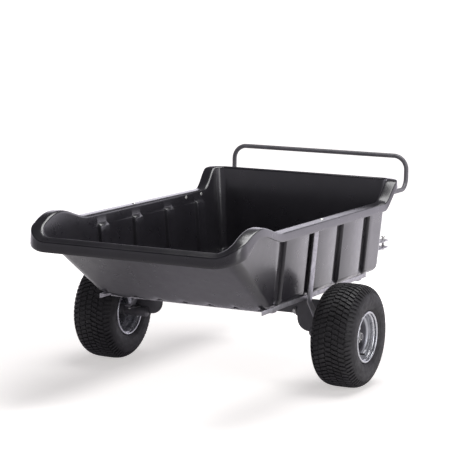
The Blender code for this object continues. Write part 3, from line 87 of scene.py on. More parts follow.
FLANGE_REAR = 0.048
FLANGE_REAR_FALL = 0.012
FLANGE_FLAT_SHARE = 0.85
FLANGE_CROWN = 0.002
FLANGE_EDGE_FALL = 0.008
SKIRT_FLARE = 1.04
SKIRT_SIDE = 0.038
SKIRT_FRONT = 0.030
SKIRT_REAR = 0.047
SKIRT_HORN = 0.068
SKIRT_HORN_RUN = 0.120
SQUEEZE = 0.016


def half_width(z):
    """From the middle out to the side wall at a height."""
    return FLOOR_HALF_WIDTH + (z - FLOOR_Z) * math.tan(SIDE_LEAN)


def front_y(z):
    """Where the front wall stands at a height."""
    return FRONT_Y + (z - FLOOR_Z) * math.tan(FRONT_LEAN)


def front_curve(z):
    """How far the curve from the floor up into the front wall stands in at a height."""
    below = max(FLOOR_Z + FRONT_FILLET - z, 0.0)
    return FRONT_FILLET - math.sqrt(FRONT_FILLET**2 - below**2)


def rear_y(z):
    """Where the sloping rear stands at a height."""
    return REAR_Y - (min(z, LIP_Z) - FLOOR_Z) / math.tan(REAR_SLOPE)


def ease(share):
    """A share from 0 to 1 that starts and ends softly."""
    return 0.5 - 0.5 * math.cos(math.pi * min(max(share, 0.0), 1.0))


SIDE_START_Y = rear_y(LIP_Z) + REAR_CORNER
SIDE_END_Y = front_y(FRONT_Z) - FRONT_CORNER
TROUGH_PITCH = (half_width(FLOOR_Z) - FLOOR_FILLET - FLOOR_EDGE) / 3


def rim_height(y):
    """Rim along a side: horn, dip, straight run and step up to the front."""
    if y < HORN_Y:
        return HORN_Z - HORN_FALL * ((HORN_Y - y) / (HORN_Y - SIDE_START_Y)) ** 2
    if y < DIP_Y:
        return HORN_Z + (SIDE_Z - HORN_Z) * ease((y - HORN_Y) / (DIP_Y - HORN_Y))
    return SIDE_Z + (FRONT_Z - SIDE_Z) * ease((y - STEP_START_Y) / (STEP_END_Y - STEP_START_Y))


def corner_height(share):
    """Rim round a rear corner: level at the lip, in line with the horn at the side."""
    end = HORN_Z - HORN_FALL
    end_slope = 2 * HORN_FALL / (HORN_Y - SIDE_START_Y) * REAR_CORNER * math.pi / 2
    from_lip = LIP_Z * (2 * share**3 - 3 * share**2 + 1)
    return from_lip + end * (3 * share**2 - 2 * share**3) + end_slope * (share**3 - share**2)


def trough(x):
    """How far the floor lies under its ridges."""
    across = x / TROUGH_PITCH
    off_middle = 2 * abs(across - math.floor(across) - 0.5)
    return TROUGH_DEPTH * (1 - off_middle**TROUGH_SHARPNESS)


def groove(y):
    """How far the side wall stands in at a channel."""
    off_middle = min(abs(y - middle) for middle in CHANNEL_MIDDLES)
    return CHANNEL_DEPTH * ease((CHANNEL_WIDTH / 2 - off_middle) / ((CHANNEL_WIDTH - CHANNEL_FLAT) / 2))


def drawn_in(y, start, end):
    """The side's end sections, drawn in where the sloping rear or the front's curve shortens the side."""
    first = max(start + SQUEEZE, CHANNEL_MIDDLES[0] - CHANNEL_WIDTH / 2)
    last = CHANNEL_MIDDLES[-1] + CHANNEL_WIDTH / 2
    if y < first:
        return start + (first - start) * (y - SIDE_START_Y) / (first - SIDE_START_Y)
    if y > last:
        return last + (end - last) * (y - last) / (SIDE_END_Y - last)
    return y


def wall_place(part, at, side_z, rear_z, inset, rear_corner, front_corner, channel, troughs):
    """A point of the wall, on one level of it and at one place round the tub."""
    if part == "lip":
        z = rear_z - troughs * trough(at)
        return at, rear_y(z) + inset, z
    if part == "front":
        return at, front_y(side_z) - front_curve(side_z), side_z - troughs * trough(at)
    if part == "rear corner":
        rearness = 1 - ease(at)
        z = side_z + (rear_z - side_z) * rearness
        angle = (at - 1) * math.pi / 2
        x = half_width(z) - inset - rear_corner * (1 - math.cos(angle))
        return x, rear_y(z) + inset + rear_corner * (1 + math.sin(angle)), z
    if part == "front corner":
        angle = at * math.pi / 2
        x = half_width(side_z) - inset - front_corner * (1 - math.cos(angle))
        y = front_y(side_z) - front_curve(side_z) - front_corner * (1 - math.sin(angle))
        return x, y, side_z
    start = rear_y(side_z) + inset + rear_corner
    end = front_y(side_z) - front_curve(side_z) - front_corner
    return half_width(side_z) - inset - channel * groove(at), drawn_in(at, start, end), side_z


def rim_place(part, at, drop, edge, flange, skirt):
    """A point of the rim: under its top, over the flange or down the skirt."""
    rearness = {"lip": 1.0, "rear corner": 1 - ease(at)}.get(part, 0.0)
    if part == "lip":
        top, skirt_height = LIP_Z, SKIRT_REAR
    elif part == "rear corner":
        top, skirt_height = corner_height(at), SKIRT_REAR + (SKIRT_HORN - SKIRT_REAR) * ease(at)
    elif part == "side":
        past_horn = ease((at - SIDE_START_Y) / SKIRT_HORN_RUN)
        top, skirt_height = rim_height(at), SKIRT_HORN + (SKIRT_SIDE - SKIRT_HORN) * past_horn
    elif part == "front corner":
        top = rim_height(SIDE_END_Y + FRONT_CORNER * math.sin(at * math.pi / 2))
        skirt_height = SKIRT_SIDE + (SKIRT_FRONT - SKIRT_SIDE) * ease(at)
    else:
        top, skirt_height = FRONT_Z, SKIRT_FRONT
    fall = FLANGE_REAR_FALL * rearness * min(flange / FLANGE_FLAT_SHARE, 1.0)
    z = top - fall - drop - skirt * (skirt_height - drop)
    wall_z = top if flange else top - drop
    reaches = (FLANGE_SIDE, FLANGE_REAR, FLANGE_FRONT)
    side_out, rear_out, front_out = (edge + flange * reach for reach in reaches)
    if part == "lip":
        return at, rear_y(wall_z) - rear_out, z
    if part == "front":
        return at, front_y(wall_z) + front_out, z
    if part == "rear corner":
        angle = (at - 1) * math.pi / 2
        x = half_width(wall_z) - REAR_CORNER + (REAR_CORNER + side_out) * math.cos(angle)
        return x, rear_y(wall_z) + REAR_CORNER + (REAR_CORNER + rear_out) * math.sin(angle), z
    if part == "front corner":
        angle = at * math.pi / 2
        x = half_width(wall_z) - FRONT_CORNER + (FRONT_CORNER + side_out) * math.cos(angle)
        return x, SIDE_END_Y + (FRONT_CORNER + front_out) * math.sin(angle), z
    return half_width(wall_z) + side_out, at, z


def shares(steps, first=0):
    """Even steps from 0 to 1, or from the first step on."""
    return [step / steps for step in range(first, steps + 1)]


floor_columns = [3 * TROUGH_PITCH * share for share in shares(30)]
HORN_SECTIONS_END_Y = -0.445
side_stations = [SIDE_START_Y + (HORN_SECTIONS_END_Y - SIDE_START_Y) * share for share in shares(30, 1)]
for middle in CHANNEL_MIDDLES:
    ramp = (CHANNEL_WIDTH - CHANNEL_FLAT) / 2
    side_stations += [middle - CHANNEL_WIDTH / 2 + ramp * share for share in shares(5)]
    side_stations += [middle + CHANNEL_FLAT / 2 + ramp * share for share in shares(5)]
side_stations += [STEP_START_Y + (SIDE_END_Y - STEP_START_Y) * share for share in shares(14)[:-1]]
stations = [("lip", x) for x in floor_columns]
stations += [("rear corner", share) for share in shares(16)]
stations += [("side", y) for y in side_stations]
stations += [("front corner", share) for share in shares(14)]
stations += [("front", x) for x in reversed(floor_columns)]

# Heights where the fillet, the troughs, the channels and the wall end, at the side and at the rear,
# and the radii of the rear and front corners there
WALL_HEIGHTS = ((FLOOR_Z, FLOOR_Z), (FLOOR_Z + 0.024, FLOOR_Z + 0.020), (FLOOR_Z + 0.056, FLOOR_Z + 0.055),
                (SIDE_Z - 0.058, LIP_Z - 0.105), (SIDE_Z - 0.040, LIP_Z - 0.065))
CORNER_RADII = ((0.020, 0.020), (0.040, 0.034), (0.042, 0.036), (0.048, 0.040), (REAR_CORNER, FRONT_CORNER))


def in_band(rows, band, share):
    """Both values of a table that far up one band of the wall."""
    return [low + (high - low) * share for low, high in zip(rows[band], rows[band + 1])]


levels = []


def add_wall_level(band, share, rise, inset, channel, troughs):
    """One level of the wall, round the whole tub."""
    heights, corners = in_band(WALL_HEIGHTS, band, rise), in_band(CORNER_RADII, band, share)
    levels.append((wall_place, (*heights, inset, *corners, channel, troughs)))


for share in shares(6):
    turn = share * math.pi / 2
    rise = 1 - math.cos(turn)
    add_wall_level(0, share, rise, FLOOR_FILLET * (1 - math.sin(turn)), rise, 1.0 - 0.3 * rise)
for share in shares(5, 1):
    add_wall_level(1, share, share, 0.0, 1.0, 0.7 - 0.5 * share)
for share in shares(8, 1):
    add_wall_level(2, share, share, 0.0, 1.0, 0.2 * (1 - share))
for share in shares(5, 1):
    add_wall_level(3, share, share, 0.0, 1 - ease(share), 0.0)
# Over the wall's rounded top, out along the flange, round its edge and down the skirt
for share in shares(5):
    turn = share * math.pi / 2
    drop, edge = TOP_ROUNDING * (1 - math.sin(turn)), TOP_ROUNDING * (1 - math.cos(turn))
    levels.append((rim_place, (drop, edge, 0.0, 0.0)))
for share in shares(4, 1):
    drop, edge = FLANGE_CROWN * share**2, TOP_ROUNDING * (1 - share)
    levels.append((rim_place, (drop, edge, FLANGE_FLAT_SHARE * share, 0.0)))
for share in shares(4, 1):
    turn = share * math.pi / 2
    drop = FLANGE_CROWN + (FLANGE_EDGE_FALL - FLANGE_CROWN) * (1 - math.cos(turn))
    flange = FLANGE_FLAT_SHARE + (1.0 - FLANGE_FLAT_SHARE) * math.sin(turn)
    levels.append((rim_place, (drop, 0.0, flange, 0.0)))
for share in shares(3, 1):
    levels.append((rim_place, (FLANGE_EDGE_FALL, 0.0, 1.0 + (SKIRT_FLARE - 1.0) * share, share)))

shell = bmesh.new()
bmesh.ops.create_grid(shell, x_segments=len(stations) - 1, y_segments=len(levels) - 1, size=0.5)
floor_edge = {}
for vert in shell.verts:
    station = round((vert.co.x + 0.5) * (len(stations) - 1))
    level = round((vert.co.y + 0.5) * (len(levels) - 1))
    if level == 0:
        floor_edge[station] = vert
    place, values = levels[level]
    vert.co = place(*stations[station], *values)
floor_edge = [floor_edge[station] for station in range(len(stations))]
columns = len(floor_columns)
under_lip, under_front = set(floor_edge[:columns]), set(floor_edge[-columns:])
chains = [edge for edge in shell.edges if set(edge.verts) <= under_lip or set(edge.verts) <= under_front]
bmesh.ops.bridge_loops(shell, edges=chains)
side_strip = set(floor_edge[columns - 1:len(stations) - columns + 1])
outline = [edge for edge in shell.edges if set(edge.verts) <= side_strip]
bmesh.ops.edgeloop_fill(shell, edges=outline)
bmesh.ops.mirror(shell, geom=shell.verts[:] + shell.edges[:] + shell.faces[:], axis="X", merge_dist=0.0001)
bmesh.ops.remove_doubles(shell, verts=shell.verts[:], dist=0.00005)
bmesh.ops.recalc_face_normals(shell, faces=shell.faces[:])
lowest_face = min(shell.faces, key=lambda face: face.calc_center_median().z)
if lowest_face.normal.z < 0:
    bmesh.ops.reverse_faces(shell, faces=shell.faces[:])


def add_node(tree, kind, constants=(), **settings):
    """A shader node of one kind, with its settings and the constants on its sockets."""
    node = tree.nodes.new(f"ShaderNode{kind}")
    for setting, value in settings.items():
        setattr(node, setting, value)
    for socket, value in dict(constants).items():
        node.inputs[socket].default_value = value
    return node


def new_effect(name, inputs, output, kind="NodeSocketFloat"):
    """An empty shader group with plain number inputs and one output."""
    effect = bpy.data.node_groups.new(name, "ShaderNodeTree")
    for label, value in inputs.items():
        effect.interface.new_socket(label, in_out="INPUT", socket_type="NodeSocketFloat").default_value = value
    effect.interface.new_socket(output, in_out="OUTPUT", socket_type=kind)
    return effect, effect.nodes.new("NodeGroupInput"), effect.nodes.new("NodeGroupOutput")


# Cloudy change over the surface, between two values
clouding, given, result = new_effect("clouding", {"Scale": 8.0, "Low": 0.0, "High": 1.0}, "Value")
place = add_node(clouding, "TexCoord")
clouds = add_node(clouding, "TexNoise", {"Detail": 5.0})
spread = add_node(clouding, "MapRange", {"From Min": 0.34, "From Max": 0.66})
clouding.links.new(place.outputs["Object"], clouds.inputs["Vector"])
clouding.links.new(given.outputs["Scale"], clouds.inputs["Scale"])
clouding.links.new(clouds.outputs["Fac"], spread.inputs["Value"])
clouding.links.new(given.outputs["Low"], spread.inputs["To Min"])
clouding.links.new(given.outputs["High"], spread.inputs["To Max"])
clouding.links.new(spread.outputs["Result"], result.inputs["Value"])

# A skin with slow waves in it and a fine grain on them
skin, given, result = new_effect(
    "skin", {"Wave Scale": 5.0, "Wave Height": 0.001, "Grain Scale": 600.0, "Grain Height": 0.0001},
    "Normal", "NodeSocketVector")
place = add_node(skin, "TexCoord")
under = None
for layer, detail in (("Wave", 1.0), ("Grain", 3.0)):
    pattern = add_node(skin, "TexNoise", {"Detail": detail})
    bump = add_node(skin, "Bump")
    skin.links.new(place.outputs["Object"], pattern.inputs["Vector"])
    skin.links.new(given.outputs[f"{layer} Scale"], pattern.inputs["Scale"])
    skin.links.new(pattern.outputs["Fac"], bump.inputs["Height"])
    skin.links.new(given.outputs[f"{layer} Height"], bump.inputs["Distance"])
    if under:
        skin.links.new(under.outputs["Normal"], bump.inputs["Normal"])
    under = bump
skin.links.new(under.outputs["Normal"], result.inputs["Normal"])

GLOSS_CLOUDS_FINER = 2.7


def new_finish(name, colours, cloud_scale, roughness, waves, grain, metallic=0.0):
    """A finish whose two colours drift into each other, with a varied gloss and its own skin."""
    finish = bpy.data.materials.new(name)
    finish.use_nodes = True
    tree = finish.node_tree
    surface = tree.nodes["Principled BSDF"]
    surface.inputs["Metallic"].default_value = metallic
    blend = add_node(tree, "Mix", data_type="RGBA", name="colours")
    blend.inputs["A"].default_value = (*colours[0], 1)
    blend.inputs["B"].default_value = (*colours[1], 1)
    drift = add_node(tree, "Group", node_tree=clouding)
    drift.inputs["Scale"].default_value = cloud_scale
    gloss = add_node(tree, "Group", node_tree=clouding)
    for socket, value in zip(("Scale", "Low", "High"), (cloud_scale * GLOSS_CLOUDS_FINER, *roughness)):
        gloss.inputs[socket].default_value = value
    relief = add_node(tree, "Group", node_tree=skin)
    for socket, value in zip(("Wave Scale", "Wave Height", "Grain Scale", "Grain Height"), (*waves, *grain)):
        relief.inputs[socket].default_value = value
    tree.links.new(drift.outputs["Value"], blend.inputs["Factor"])
    tree.links.new(blend.outputs["Result"], surface.inputs["Base Color"])
    tree.links.new(gloss.outputs["Value"], surface.inputs["Roughness"])
    tree.links.new(relief.outputs["Normal"], surface.inputs["Normal"])
    return finish


def finish_piece(name, working, body, finish, replaced=(), sharp=35):
    """A bmesh made into a piece that moves with a body and stands for the named CAD nodes."""
    mesh = bpy.data.meshes.new(name)
    working.to_mesh(mesh)
    working.free()
    mesh.shade_smooth()
    mesh.set_sharp_from_angle(angle=math.radians(sharp))
    mesh.materials.append(finish)
    piece = bpy.data.objects.new(name, mesh)
    bpy.context.scene.collection.objects.link(piece)
    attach(piece, body)
    if replaced:
        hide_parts(*replaced)
    return piece


black_polyethylene = new_finish("black_polyethylene", ((0.0195, 0.0182, 0.0226), (0.0260, 0.0243, 0.0298)), 7.0,
                                (0.27, 0.36), (4.5, 0.0016), (900.0, 0.00004))
surface = black_polyethylene.node_tree.nodes["Principled BSDF"]
surface.inputs["Coat Weight"].default_value = 1.0
surface.inputs["Coat Roughness"].default_value = 0.2

bmesh.ops.translate(shell, vec=AXLE, verts=shell.verts[:])
tub = finish_piece("moulded_tub", shell, "tipper", black_polyethylene, ["tub"], sharp=60)
wall = tub.modifiers.new("wall", "SOLIDIFY")
wall.thickness = TUB_WALL
wall.offset = -1.0
wall.use_even_offset = True
soft_edge = tub.modifiers.new("soft_edge", "BEVEL")
soft_edge.width = 0.0016
soft_edge.segments = 2
soft_edge.limit_method = "ANGLE"
soft_edge.angle_limit = math.radians(50)


# The push handle is a hoop of 22 mm steel tube, bent cold and powder coated dark grey. Its tails
# are bolted along the side walls, under the flange.

HANDLE_RADIUS = 0.011
HANDLE_GAP = 0.0003
HANDLE_TAIL_Z = 0.7165
HANDLE_LEG_Z = 0.765
HANDLE_TOP_Z = 0.921
HANDLE_END_Y = 0.385
HANDLE_TAIL_BEND_Y = 0.652
HANDLE_LEG_BEND_Y = 0.730
HANDLE_FRONT_Y = 0.975


def bent_tube(corners, bends, radius):
    """A tube drawn straight between corners and round a former at each of them."""
    working = bmesh.new()
    corners = [Vector(corner) for corner in corners]
    here, onward = corners[0], (corners[1] - corners[0]).normalized()
    facing = Matrix.Translation(here) @ onward.to_track_quat("Z", "Y").to_matrix().to_4x4()
    bmesh.ops.create_circle(working, segments=24, radius=radius, matrix=facing)
    end = working.verts[:] + working.edges[:]
    for corner, after, bend in zip(corners[1:], corners[2:] + [None], [*bends, None]):
        setback = 0.0
        if after is not None:
            turned_way = (after - corner).normalized()
            angle = onward.angle(turned_way)
            setback = bend * math.tan(angle / 2)
        run = onward * ((corner - here).length - setback)
        drawn = bmesh.ops.spin(working, geom=end, cent=here, axis=(0, 0, 1), dvec=run, angle=0, steps=1)
        end = drawn["geom_last"]
        here = here + run
        if after is not None:
            axis = onward.cross(turned_way).normalized()
            centre = here + axis.cross(onward) * bend
            bent = bmesh.ops.spin(working, geom=end, cent=centre, axis=axis, angle=angle, steps=12)
            end = bent["geom_last"]
            here, onward = corner + turned_way * setback, turned_way
    bmesh.ops.holes_fill(working, edges=working.edges[:])
    bmesh.ops.recalc_face_normals(working, faces=working.faces[:])
    rims = [edge for edge in working.edges if edge.calc_face_angle(0) > math.radians(60)]
    bmesh.ops.bevel(working, geom=rims, offset=0.0012, offset_type="OFFSET", segments=2, profile=0.5,
                    affect="EDGES", material=-1)
    bmesh.ops.translate(working, vec=AXLE, verts=working.verts[:])
    return working


def beside_wall(z):
    """From the middle out to a tube that lies along the side wall at a height."""
    return half_width(z) + (TUB_WALL + HANDLE_RADIUS + HANDLE_GAP) / math.cos(SIDE_LEAN)


handle_leg_x = beside_wall(HANDLE_LEG_Z)
handle_half = [(beside_wall(HANDLE_TAIL_Z), HANDLE_END_Y, HANDLE_TAIL_Z),
               (beside_wall(HANDLE_TAIL_Z), HANDLE_TAIL_BEND_Y, HANDLE_TAIL_Z),
               (handle_leg_x, HANDLE_LEG_BEND_Y, HANDLE_LEG_Z), (handle_leg_x, HANDLE_FRONT_Y, HANDLE_LEG_Z),
               (handle_leg_x, HANDLE_FRONT_Y, HANDLE_TOP_Z)]
handle_corners = handle_half + [(-x, y, z) for x, y, z in reversed(handle_half)]
handle_bends = [0.055, 0.055, 0.055, 0.065]

dark_powder_coat = new_finish("dark_powder_coat", ((0.140, 0.137, 0.148), (0.188, 0.184, 0.197)), 14.0,
                              (0.30, 0.42), (60.0, 0.0002), (420.0, 0.00012))
finish_piece("push_handle_tube", bent_tube(handle_corners, handle_bends + handle_bends[::-1], HANDLE_RADIUS),
             "tipper", dark_powder_coat, ["push_handle"])


# The tub's steelwork is cut from flat bar, angle and box tube, folded and welded. The rails and
# bars under the floor and the struts that brace the rim are hot-dip galvanised; the hangers,
# pivot plates, axle beam, stub axles and saddles are powder coated dark grey.


def softened(node, body, finish, radius):
    """A CAD node's shape with its cut edges rounded over."""
    working = bmesh.new()
    working.from_mesh(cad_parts[node].data)
    bmesh.ops.remove_doubles(working, verts=working.verts[:], dist=0.00002)
    bmesh.ops.dissolve_limit(working, angle_limit=math.radians(1.5),
                             verts=working.verts[:], edges=working.edges[:])
    bmesh.ops.recalc_face_normals(working, faces=working.faces[:])
    edges = [edge for edge in working.edges if edge.calc_face_angle(0) > math.radians(35)]
    bmesh.ops.bevel(working, geom=edges, offset=radius, offset_type="OFFSET", segments=2, profile=0.5,
                    affect="EDGES", clamp_overlap=True, material=-1)
    return finish_piece(f"{node}_softened", working, body, finish, [node])


galvanised = new_finish("galvanised", ((0.50, 0.49, 0.52), (0.64, 0.63, 0.66)), 30.0,
                        (0.36, 0.52), (25.0, 0.0002), (300.0, 0.00006), metallic=0.6)
# Zinc crystals as pale and dark flakes over the drifting grey
tree = galvanised.node_tree
place = add_node(tree, "TexCoord")
flakes = add_node(tree, "TexVoronoi", {"Scale": 120.0})
flake_tone = add_node(tree, "MapRange", {"To Min": 0.82, "To Max": 1.12})
tinted = add_node(tree, "Mix", {"Factor": 1.0}, data_type="RGBA", blend_type="MULTIPLY")
tree.links.new(place.outputs["Object"], flakes.inputs["Vector"])
tree.links.new(flakes.outputs["Color"], flake_tone.inputs["Value"])
tree.links.new(tree.nodes["colours"].outputs["Result"], tinted.inputs["A"])
tree.links.new(flake_tone.outputs["Result"], tinted.inputs["B"])
tree.links.new(tinted.outputs["Result"], tree.nodes["Principled BSDF"].inputs["Base Color"])

for node in ("side_rail_right", "side_rail_left", "strut_right", "strut_left",
             "cross_bar_front", "cross_bar_rear"):
    softened(node, "tipper", galvanised, 0.0009)
for stem in ("axle_hanger", "pivot_plate", "stub_axle", "strut_saddle"):
    for hand in ("right", "left"):
        softened(f"{stem}_{hand}", "tipper", dark_powder_coat, 0.0009)
softened("axle_beam", "tipper", dark_powder_coat, 0.0009)


# The bolts and nuts are zinc-plated steel: domed bolts through the tub, the rim, the handle and
# the hitch, and large flanged nuts on the tip pivots and the axle ends.

bright_zinc = new_finish("bright_zinc", ((0.68, 0.68, 0.66), (0.80, 0.80, 0.77)), 90.0,
                         (0.24, 0.36), (80.0, 0.0001), (900.0, 0.00003), metallic=0.65)
tipper_fasteners = [f"{stem}_{hand}" for hand in ("right", "left") for stem in (
    "handle_bolt_1", "handle_bolt_2", "floor_bolt_1", "floor_bolt_2", "strut_bolt_upper",
    "strut_bolt_lower", "pivot_bolt", "pivot_nut", "axle_nut")]
for node in tipper_fasteners:
    softened(node, "tipper", bright_zinc, 0.0005)
for node in ("hitch_bolt_1", "hitch_bolt_2", "stand_bolt"):
    softened(node, "drawbar", bright_zinc, 0.0005)
softened("hitch_pin", "pin", bright_zinc, 0.0006)


# The drawbar frame is welded from box tube, with two round braces from the cross tube to the
# drawbar and a pair of lugs on the tip pivots. It is powder coated dark grey, with galvanised
# straps at the hitch and a rubber buffer under the tub's front bar.

for node in ("drawbar_cross_tube", "drawbar_tube", "pivot_lug_right", "pivot_lug_left", "stand_bracket"):
    softened(node, "drawbar", dark_powder_coat, 0.0012)
for node in ("hitch_strap_top", "hitch_strap_bottom"):
    softened(node, "drawbar", galvanised, 0.0012)

BRACE_RADIUS = 0.014
BRACE_BEND = 0.060
brace_corners = [(0.280, 0.1003, 0.307), (0.280, 0.150, 0.307), (0.0393, 0.640, 0.3423),
                 (0.0393, 0.740, 0.3423)]
for hand, side in (("right", 1), ("left", -1)):
    corners = [(side * x, y, z) for x, y, z in brace_corners]
    finish_piece(f"brace_tube_{hand}", bent_tube(corners, (BRACE_BEND, BRACE_BEND), BRACE_RADIUS), "drawbar",
                 dark_powder_coat, [f"drawbar_brace_{hand}"])

buffer_rubber = new_finish("buffer_rubber", ((0.020, 0.020, 0.021), (0.032, 0.031, 0.031)), 40.0,
                           (0.60, 0.80), (120.0, 0.0002), (900.0, 0.0001))
softened("rest_buffer", "drawbar", buffer_rubber, 0.0015)


# The stand is a round steel leg with a flat foot, which swings up between the legs of its
# bracket. It is powder coated like the drawbar.

softened("stand_leg", "stand", dark_powder_coat, 0.0012)


# The tyres are broad low-pressure turf tyres of black rubber, moulded in one piece: a carcass
# with smooth side walls, and a tread of slanted blocks between rows of shoulder lugs.

WHEEL = Vector(((wheel_low.x + wheel_high.x) / 2, AXLE.y, (wheel_low.z + wheel_high.z) / 2))
TYRE_RADIUS = (wheel_high.z - wheel_low.z) / 2
TYRE_HALF_WIDTH = (wheel_high.x - wheel_low.x) / 2
BULGE_RADIUS = 0.162
SHOULDER_FULLNESS = 0.476
BEAD_X = 0.0785
BEAD_RADIUS = 0.113
BEAD_FOOT_X = 0.066
BEAD_FOOT_RADIUS = 0.1022
CARCASS_WALL = 0.016
INSIDE_SHARE = 0.86
TREAD_DEPTH = 0.0065
TREAD_END = 0.094
TREAD_RUN_OUT = 0.022
RIBS = (0.1235, 0.1700)
RIB_HEIGHT = 0.0012
RIB_HALF_WIDTH = 0.0022
BLOCK_ROOT = 0.003
BLOCK_EDGE = 0.0013
PITCHES = 64


def side_line():
    """The tyre's outside, from the middle of the tread over the shoulder down to the bead."""
    line = []
    for share in shares(60):
        turn = (1 - share) * math.pi / 2
        across = TYRE_HALF_WIDTH * max(math.cos(turn), 0.0) ** SHOULDER_FULLNESS
        line.append(Vector((across, BULGE_RADIUS + (TYRE_RADIUS - BULGE_RADIUS) * math.sin(turn))))
    for share in shares(14, 1):
        turn = share * math.pi / 2
        across = BEAD_X + (TYRE_HALF_WIDTH - BEAD_X) * math.cos(turn)
        line.append(Vector((across, BULGE_RADIUS - (BULGE_RADIUS - BEAD_RADIUS) * math.sin(turn))))
    return line


tyre_line = side_line()
lengths = [0.0]
for first, second in zip(tyre_line, tyre_line[1:]):
    lengths.append(lengths[-1] + (second - first).length)


def over_tyre(along, height=0.0):
    """The place that far along the outside from the middle of the tread, and that high over it."""
    reach = min(abs(along), lengths[-1] - 1e-6)
    index = bisect_right(lengths, reach) - 1
    first, second = tyre_line[index], tyre_line[index + 1]
    place = first.lerp(second, (reach - lengths[index]) / (lengths[index + 1] - lengths[index]))
    way = (second - first).normalized()
    place = place + Vector((-way.y, way.x)) * height
    return math.copysign(place.x, along), place.y


def turned(outline, steps=120, closed=True):
    """An outline of (across, radius) points turned once round the wheel's axis."""
    working = bmesh.new()
    points = [working.verts.new((across, 0, radius)) for across, radius in outline]
    for first, second in zip(points, points[1:] + points[:1] if closed else points[1:]):
        working.edges.new((first, second))
    bmesh.ops.spin(working, geom=working.verts[:] + working.edges[:], cent=(0, 0, 0), axis=(1, 0, 0),
                   angle=2 * math.pi, steps=steps, use_merge=True)
    bmesh.ops.remove_doubles(working, verts=working.verts[:], dist=0.00001)
    bmesh.ops.recalc_face_normals(working, faces=working.faces[:])
    return working


def set_wheel_piece(name, working, finish, replaced, sharp, wheel_side):
    """A piece modelled on the wheel's own axis, put on the right wheel or mirrored to the left one."""
    hand = "right" if wheel_side > 0 else "left"
    bmesh.ops.translate(working, vec=WHEEL, verts=working.verts[:])
    if wheel_side < 0:
        bmesh.ops.scale(working, vec=(-1, 1, 1), verts=working.verts[:])
        bmesh.ops.reverse_faces(working, faces=working.faces[:])
    return finish_piece(f"{name}_{hand}", working, f"wheel_{hand}", finish,
                        [f"{node}_{hand}" for node in replaced], sharp)


def groove_depth(along):
    """How far the carcass lies under the blocks: full under the tread, none beside it but for two ribs."""
    reach = abs(along)
    ribs = sum(RIB_HEIGHT * max(0.0, 1 - ((reach - rib) / RIB_HALF_WIDTH) ** 2) for rib in RIBS)
    return TREAD_DEPTH * (1 - ease((reach - TREAD_END) / TREAD_RUN_OUT)) - ribs


def carcass_outline():
    """The carcass cut across: outside from bead to bead, then back along the inside."""
    outside = [over_tyre(along, -groove_depth(along)) for along in
               [lengths[-1] * step / 70 for step in range(-70, 71)]]
    inside = [(across * INSIDE_SHARE, radius - CARCASS_WALL) for across, radius in outside[::-1][12:-12:4]]
    foot = [(BEAD_X - 0.004, BEAD_FOOT_RADIUS), (BEAD_FOOT_X, BEAD_FOOT_RADIUS)]
    return outside + foot + inside + [(-across, radius) for across, radius in reversed(foot)]


# Rows of blocks: middle along the tread, width, length round the tyre, slant, and turn in pitches
block_rows = [(0.0, 0.0270, 0.0150, 0.10, 0.0)]
for side in (-1, 1):
    block_rows += [(side * 0.0305, 0.0275, 0.0150, side * 0.34, 0.50),
                   (side * 0.0600, 0.0255, 0.0150, side * 0.34, 0.05),
                   (side * 0.0945, 0.0385, 0.0125, side * -0.16, 0.55)]


def tread_blocks():
    """One block of each row, bent over the tyre and repeated all the way round."""
    working = bmesh.new()
    block_height = TREAD_DEPTH + BLOCK_ROOT
    step = 2 * math.pi / PITCHES
    for middle, width, length, slant, offset in block_rows:
        block = bmesh.new()
        bmesh.ops.create_cube(block, size=1.0)
        bmesh.ops.scale(block, vec=(width, length, block_height), verts=block.verts[:])
        crossing = [edge for edge in block.edges if abs((edge.verts[0].co - edge.verts[1].co).x) > width / 2]
        bmesh.ops.subdivide_edges(block, edges=crossing, cuts=4 if width > 0.03 else 1, use_grid_fill=True)
        upper = [edge for edge in block.edges if edge.calc_face_angle(0) > 1 and
                 max(vert.co.z for vert in edge.verts) > 0]
        bmesh.ops.bevel(block, geom=upper, offset=BLOCK_EDGE, offset_type="OFFSET", segments=1, profile=0.5,
                        affect="EDGES", material=-1)
        for vert in block.verts:
            u, v, height = vert.co
            across, radius = over_tyre(middle + u, height - block_height / 2)
            angle = (v + u * slant) / TYRE_RADIUS + offset * step
            vert.co = (across, -radius * math.sin(angle), radius * math.cos(angle))
        mesh = bpy.data.meshes.new("block")
        block.to_mesh(mesh)
        block.free()
        working.from_mesh(mesh)
        bpy.data.meshes.remove(mesh)
    bmesh.ops.spin(working, geom=working.verts[:] + working.edges[:] + working.faces[:], cent=(0, 0, 0),
                   axis=(1, 0, 0), angle=step * (PITCHES - 1), steps=PITCHES - 1, use_duplicate=True)
    bmesh.ops.recalc_face_normals(working, faces=working.faces[:])
    return working


tyre_rubber = new_finish("tyre_rubber", ((0.020, 0.0190, 0.0208), (0.034, 0.0325, 0.0354)), 22.0,
                         (0.50, 0.68), (40.0, 0.0002), (800.0, 0.00012))
for wheel_side in (1, -1):
    set_wheel_piece("tyre_carcass", turned(carcass_outline()), tyre_rubber,
                    ["tyre"], 50, wheel_side)
    set_wheel_piece("tyre_tread", tread_blocks(), tyre_rubber, (), 30, wheel_side)


# The rims are pressed from 3 mm steel sheet in two parts, a barrel with rolled lips and a dished
# disc welded inside it, and sprayed silver. A steel hub goes through the disc and is bolted to it.


def arc_points(across, radius, size, start, end, steps):
    """Points of an arc in the wheel's section, with its angles from straight out sideways."""
    angles = [math.radians(start + (end - start) * share) for share in shares(steps)]
    return [(across + size * math.cos(angle), radius + size * math.sin(angle)) for angle in angles]


